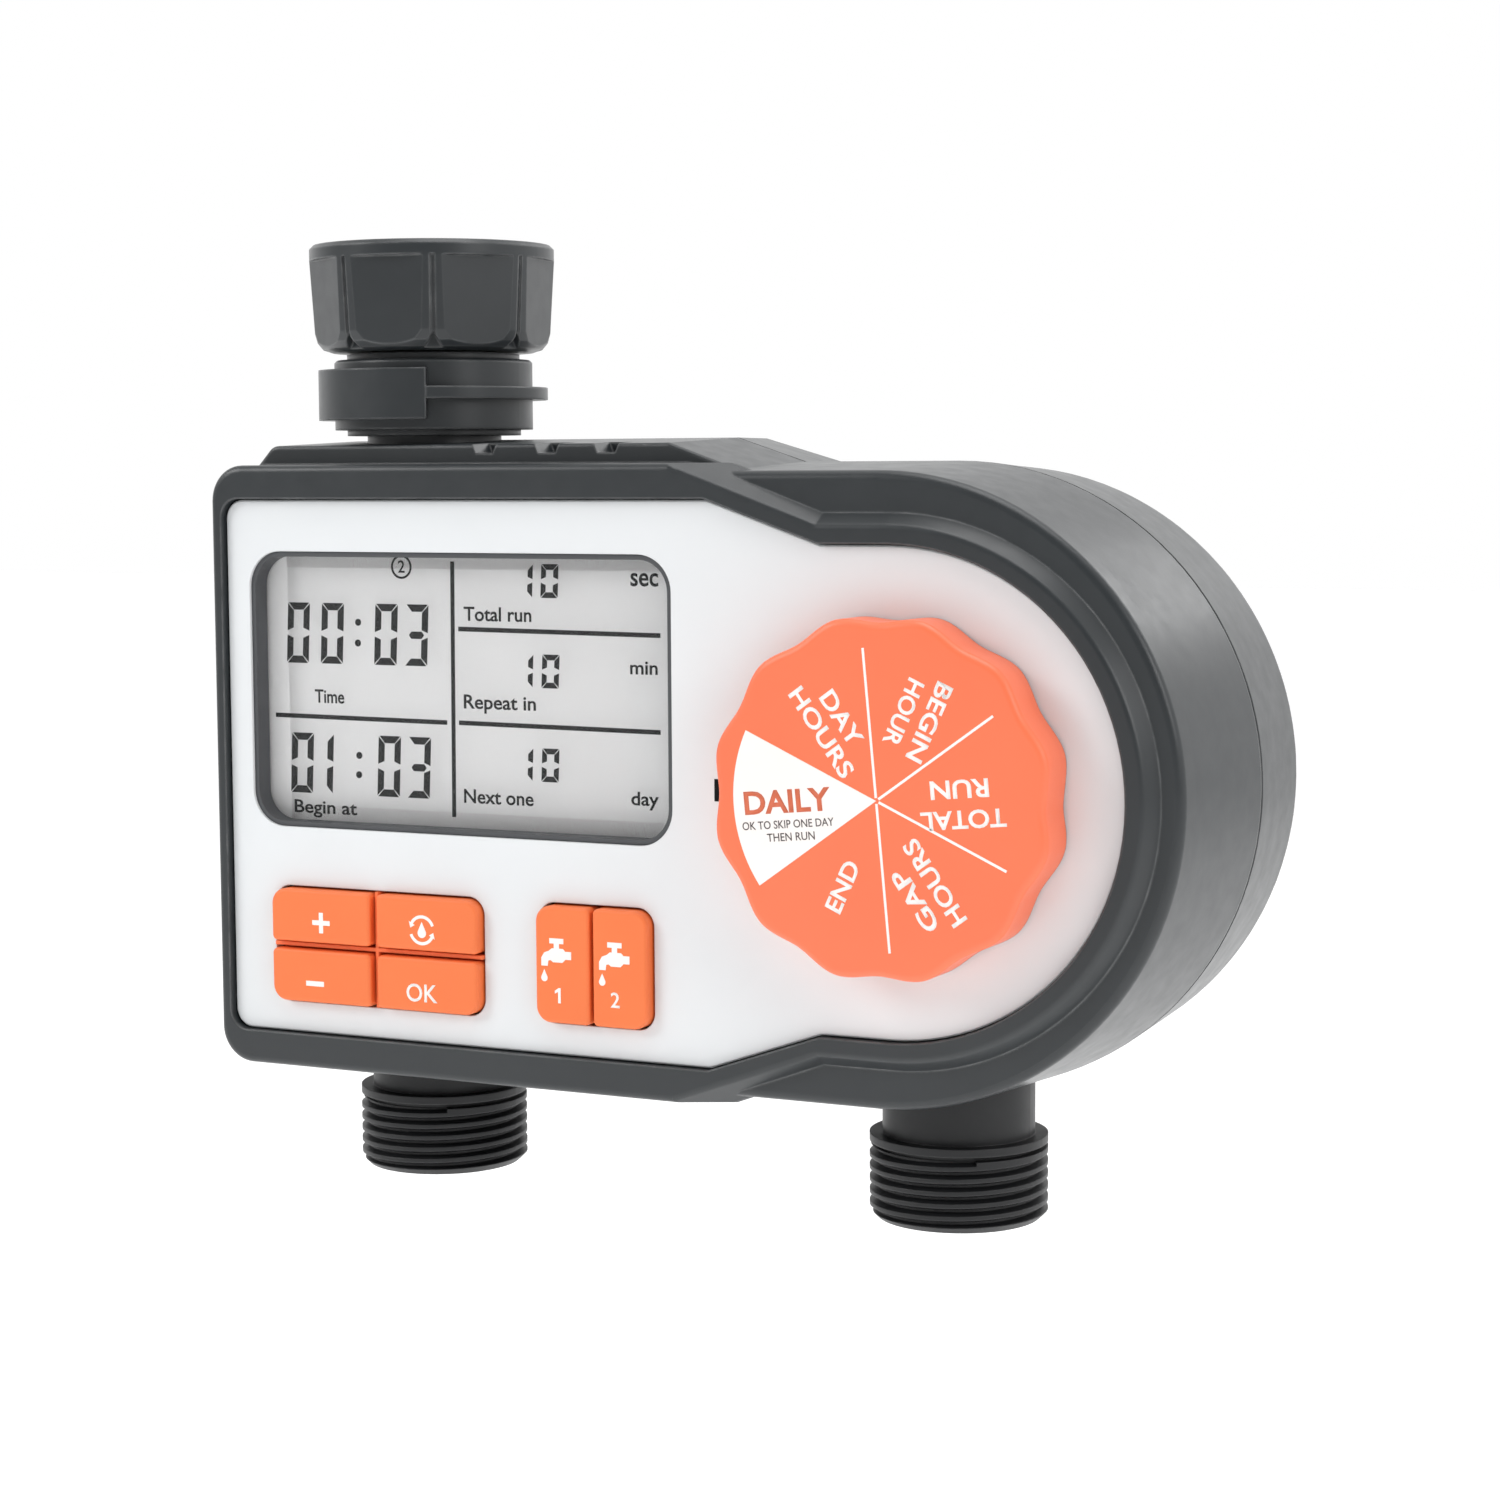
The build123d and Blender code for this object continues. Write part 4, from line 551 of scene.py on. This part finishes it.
def words_on(name, lines, x, z, y, body, material, slot, turn=0.0, bold=0.0):
    """Raised words: each line is (text, left, baseline, width, capital height), all in mm."""
    mesh = bmesh.new()
    for text, left, base, width, height in lines:
        curve = bpy.data.curves.new(name, "FONT")
        curve.body = text
        curve.offset = bold
        curve.resolution_u = 4
        holder = bpy.data.objects.new(name, curve)
        flat = bpy.data.meshes.new_from_object(holder)
        bpy.data.objects.remove(holder)
        letters = bmesh.new()
        letters.from_mesh(flat)
        bpy.data.meshes.remove(flat)
        bmesh.ops.remove_doubles(letters, verts=letters.verts, dist=0.0005)
        xs = [v.co.x for v in letters.verts]
        ys = [v.co.y for v in letters.verts]
        low_y = min(ys) if text.upper() == text else 0.0
        across = width / (max(xs) - min(xs))
        tall = height / (max(ys) - low_y)
        made = bmesh.ops.extrude_face_region(letters, geom=list(letters.faces))
        moved = [v for v in made["geom"] if isinstance(v, bmesh.types.BMVert)]
        for v in moved:
            v.co.z = 1.0
        for v in letters.verts:
            px = left + (v.co.x - min(xs)) * across
            v.co = (px, -PRINT_THICK * v.co.z, base + (v.co.y - low_y) * tall)
        part = bpy.data.meshes.new(name)
        letters.to_mesh(part)
        letters.free()
        mesh.from_mesh(part)
        bpy.data.meshes.remove(part)
    return finish_print(name, mesh, x, z, y, body, material, turn)


# ---- display: places in mm from the lower left corner of its frame's opening ----
SEGMENTS = {"0": "abcdef", "1": "bc", "2": "abged", "3": "abgcd"}
SLANT = 0.045


def digit(text, x, z, width, height, thick):
    """The segments of one digit, with mitred ends and small gaps."""
    gap = thick * 0.12
    half = height / 2
    t = thick
    shapes = {
        "a": [(gap, height), (width - gap, height), (width - t, height - t), (t, height - t)],
        "d": [(gap, 0), (t, t), (width - t, t), (width - gap, 0)],
        "g": [(t * 0.6, half), (t, half + t / 2), (width - t, half + t / 2),
              (width - t * 0.6, half), (width - t, half - t / 2), (t, half - t / 2)],
        "f": [(0, height - gap), (t, height - t - gap), (t, half + t * 0.7), (0, half + t * 0.3)],
        "e": [(0, gap), (0, half - t * 0.3), (t, half - t * 0.7), (t, t + gap)],
    }
    shapes["b"] = [(width - px, pz) for px, pz in shapes["f"]][::-1]
    shapes["c"] = [(width - px, pz) for px, pz in shapes["e"]][::-1]
    return [[(x + px + pz * SLANT, z + pz) for px, pz in shapes[s]] for s in SEGMENTS[text]]


BIG = (4.05, 9.4, 1.12)
SMALL = (2.95, 5.05, 0.85)
DIGITS = (
    ("0", 3.6, 25.1, BIG), ("0", 9.9, 25.1, BIG), ("0", 19.7, 25.1, BIG), ("3", 25.2, 25.1, BIG),
    ("0", 3.9, 4.8, BIG), ("1", 7.6, 4.8, BIG), ("0", 19.9, 4.8, BIG), ("3", 25.3, 4.8, BIG),
    ("1", 44.9, 35.8, SMALL), ("0", 49.3, 35.8, SMALL),
    ("1", 44.8, 22.3, SMALL), ("0", 49.3, 22.3, SMALL),
    ("1", 44.6, 8.2, SMALL), ("0", 49.1, 8.2, SMALL),
)
COLONS = ((16.9, 31.6), (16.8, 28.4), (16.7, 11.0), (16.6, 8.0))
RULES = (
    ((34.0, 41.1), (33.7, 2.2)),
    ((34.9, 30.9), (69.5, 30.55)),
    ((34.8, 16.65), (69.4, 16.3)),
    ((1.3, 16.85), (32.7, 16.6)),
)
RULE_WIDTH = 0.7
LABELS = (
    ("Time", 8.7, 19.0, 5.4, 2.05),
    ("Begin at", 4.5, 1.7, 11.6, 2.0),
    ("Total run", 35.9, 32.2, 11.8, 2.1),
    ("Repeat in", 35.7, 18.9, 12.6, 2.1),
    ("Next one", 35.5, 4.5, 12.2, 2.1),
    ("sec", 64.6, 37.8, 4.6, 1.9),
    ("min", 64.4, 24.8, 4.6, 1.9),
    ("day", 64.4, 5.4, 4.6, 2.0),
)


def display(materials):
    """Everything that the display shows, on the display cell behind the clear lens."""
    black = materials["print_black"]
    left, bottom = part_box("lcd_frame")[0].x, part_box("lcd_frame")[0].z
    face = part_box("lcd_glass")[0].y
    place = (left, bottom, face, "case", black, "frame")
    digits = []
    for text, x, z, size in DIGITS:
        digits += digit(text, x, z, *size)
    digits += [disc(x, z, 0.55) for x, z in COLONS]
    print_on("display_digits", digits, *place)
    print_on("display_rules", [stroke(a, b, RULE_WIDTH) for a, b in RULES], *place)
    print_on("display_ring", [circle_ring(24.9, 40.2, 1.85, 1.5)], *place)
    words_on("display_zone", [("2", 24.3, 39.3, 1.2, 1.9)], *place, bold=0.01)
    words_on("display_labels", LABELS, *place, bold=0.016)


# ---- dial: places in mm from its centre ----
DIAL_TURN = radians(5.4)
WEDGE_R = 22.0
LINE_R = 21.2
SPOKE_START = 0.4
SPOKE_WIDTH = 0.38
WEDGE_WORD = (("DAILY", -20.3, -0.95, 13.4, 3.3),)
WEDGE_NOTES = (
    ("OK TO SKIP ONE DAY", -20.9, -3.1, 14.2, 1.15),
    ("THEN RUN", -17.2, -4.9, 7.4, 1.15),
)
DIAL_WORDS = (
    (120, (("DAY", -16.4, 1.0, 8.4, 2.6), ("HOURS", -19.4, -2.7, 14.2, 2.6))),
    (60, (("BEGIN", -19.2, 1.3, 11.6, 2.6), ("HOUR", -17.8, -2.7, 9.8, 2.6))),
    (0, (("TOTAL", -19.0, 1.9, 12.6, 2.6), ("RUN", -16.8, -2.3, 8.6, 2.6))),
    (-60, (("GAP", -19.2, 1.8, 9.6, 2.6), ("HOURS", -20.6, -2.1, 13.4, 2.6))),
    (-120, (("END", -17.0, -1.7, 7.6, 2.6),)),
)


def dial(materials):
    """Prints on the dial's face: a white wedge, spokes and a word or two in each sector."""
    low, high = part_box("dial_knob")
    x, z = (low.x + high.x) / 2, (low.z + high.z) / 2
    white = materials["print_white"]
    place = (x, z, low.y, "dial", white, "panel")
    wedge = [(0.0, 0.0)] + arc(0, 0, WEDGE_R, 150, 210)
    print_on("dial_wedge", [wedge], *place, turn=DIAL_TURN)
    spokes = []
    for angle in (30, 90, 270, 330):
        a = radians(angle)
        outward = Vector((cos(a), sin(a)))
        spokes.append(stroke(SPOKE_START * outward, LINE_R * outward, SPOKE_WIDTH))
    print_on("dial_spokes", spokes, *place, turn=DIAL_TURN)
    for k, (angle, lines) in enumerate(DIAL_WORDS):
        turn = DIAL_TURN + radians(angle - 180)
        words_on(f"dial_words_{k + 1}", lines, *place, turn=turn, bold=0.022)
    lift = low.y - PRINT_PROUD * MM
    brown = (x, z, lift, "dial", materials["print_brown"], "key_web")
    words_on("dial_wedge_word", WEDGE_WORD, *brown, turn=DIAL_TURN, bold=0.028)
    grey = (x, z, lift, "dial", materials["print_grey"], "frame")
    words_on("dial_wedge_notes", WEDGE_NOTES, *grey, turn=DIAL_TURN, bold=0.008)


# ---- keys, panel and back ----
MARK_R = 41.2
MARK_WIDTH = 0.8
MARK_HEIGHT = 0.3
DOT_ANGLE = 1.396
TAP = (
    (-1.2, 0), (-1.2, -0.8), (-0.45, -0.8), (-0.45, -1.5), (-0.8, -1.5), (-1.3, -1.9), (-2.1, -2.2),
    (-2.6, -3.0), (-2.6, -4.2), (-1.5, -4.2), (-1.4, -3.4), (-1.0, -3.3), (-0.6, -3.6), (1.0, -3.6),
    (1.5, -3.1), (2.5, -3.1), (2.5, -1.9), (1.5, -1.9), (1.1, -1.5), (0.45, -1.5), (0.45, -0.8),
    (1.2, -0.8), (1.2, 0),
)


ONE = (
    (0.2, -9.7), (0.2, -8.0), (-0.35, -8.3), (-0.35, -7.85), (0.3, -7.4), (0.65, -7.4),
    (0.65, -9.7),
)


def band(r, width, start, end):
    """A curved band with an arrow head at its far end."""
    outer = arc(0, 0, r + width / 2, start, end, 16)
    inner = arc(0, 0, r - width / 2, end, start, 16)
    way = 1 if end > start else -1
    tip = arc(0, 0, r, end + 22 * way, end + 22 * way, 1)[0]
    wide = arc(0, 0, r + width * 1.2, end, end, 1)[0]
    narrow = arc(0, 0, r - width * 1.2, end, end, 1)[0]
    return outer + [wide, tip, narrow] + inner


def key_icons(materials):
    """White icons on the six keys."""
    white = materials["print_white"]
    icons = {
        "key_plus": (0.2, -0.9, [
            [(-0.38, 1.6), (-0.38, 0.38), (-1.6, 0.38), (-1.6, -0.38), (-0.38, -0.38), (-0.38, -1.6),
             (0.38, -1.6), (0.38, -0.38), (1.6, -0.38), (1.6, 0.38), (0.38, 0.38), (0.38, 1.6)]]),
        "key_minus": (-1.1, -1.1, [bar(-1.65, -0.4, 1.65, 0.4)]),
        "key_manual": (-0.7, -0.9, [
            band(2.05, 0.5, 20, 150), band(2.05, 0.5, 200, 330), drop(0, -0.45, 0.75, 1.75)]),
        "key_tap_1": (-0.9, 4.0, [list(TAP), drop(-2.1, -6.0, 0.55, 1.3), list(ONE)]),
        "key_tap_2": (-0.8, 4.0, [list(TAP), drop(-2.1, -6.0, 0.55, 1.3)]),
    }
    for key, (right, up, outlines) in icons.items():
        low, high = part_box(key)
        x = (low.x + high.x) / 2 + right * MM
        z = (low.z + high.z) / 2 + up * MM
        print_on(key + "_icon", outlines, x, z, low.y, key, white, "panel")
    words = (("key_tap_2", "2", -1.5, -5.7, 1.5, 2.3),
             ("key_ok", "OK", -3.6, -2.6, 5.5, 2.8))
    for key, text, left, base, width, height in words:
        low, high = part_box(key)
        x = (low.x + high.x) / 2
        z = (low.z + high.z) / 2
        line = (text, left, base, width, height)
        words_on(key + "_sign", (line,), x, z, low.y, key, white, "panel", bold=0.012)


def panel_marks(materials):
    """The dial's pointer on the panel."""
    low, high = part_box("dial_knob")
    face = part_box("front_panel")[0].y
    z = (low.z + high.z) / 2
    print_on("dial_pointer", [bar(-4.0, -2.1, -3.0, 1.15)], low.x, z, face, "case",
             materials["print_black"], "frame")


def cover_marks(materials):
    """Moulded turn arrow and end dots on the back, round the battery cover."""
    low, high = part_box("battery_cover")
    x, z = (low.x + high.x) / 2, (low.z + high.z) / 2
    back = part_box("rear_shell")[1].y + (MARK_HEIGHT - 2 * PRINT_SINK) * MM
    arrow = band(MARK_R, MARK_WIDTH, 96, 124)
    dot = disc(MARK_R * cos(DOT_ANGLE), MARK_R * sin(DOT_ANGLE), MARK_WIDTH)
    print_on("cover_turn_marks", [arrow, dot], x, z, back, "case", materials["case"], "case",
             thick=MARK_HEIGHT)


place_camera()
studio()
materials = make_materials()
dress_nodes(materials)
plunger_springs()
display(materials)
dial(materials)
key_icons(materials)
panel_marks(materials)
cover_marks(materials)
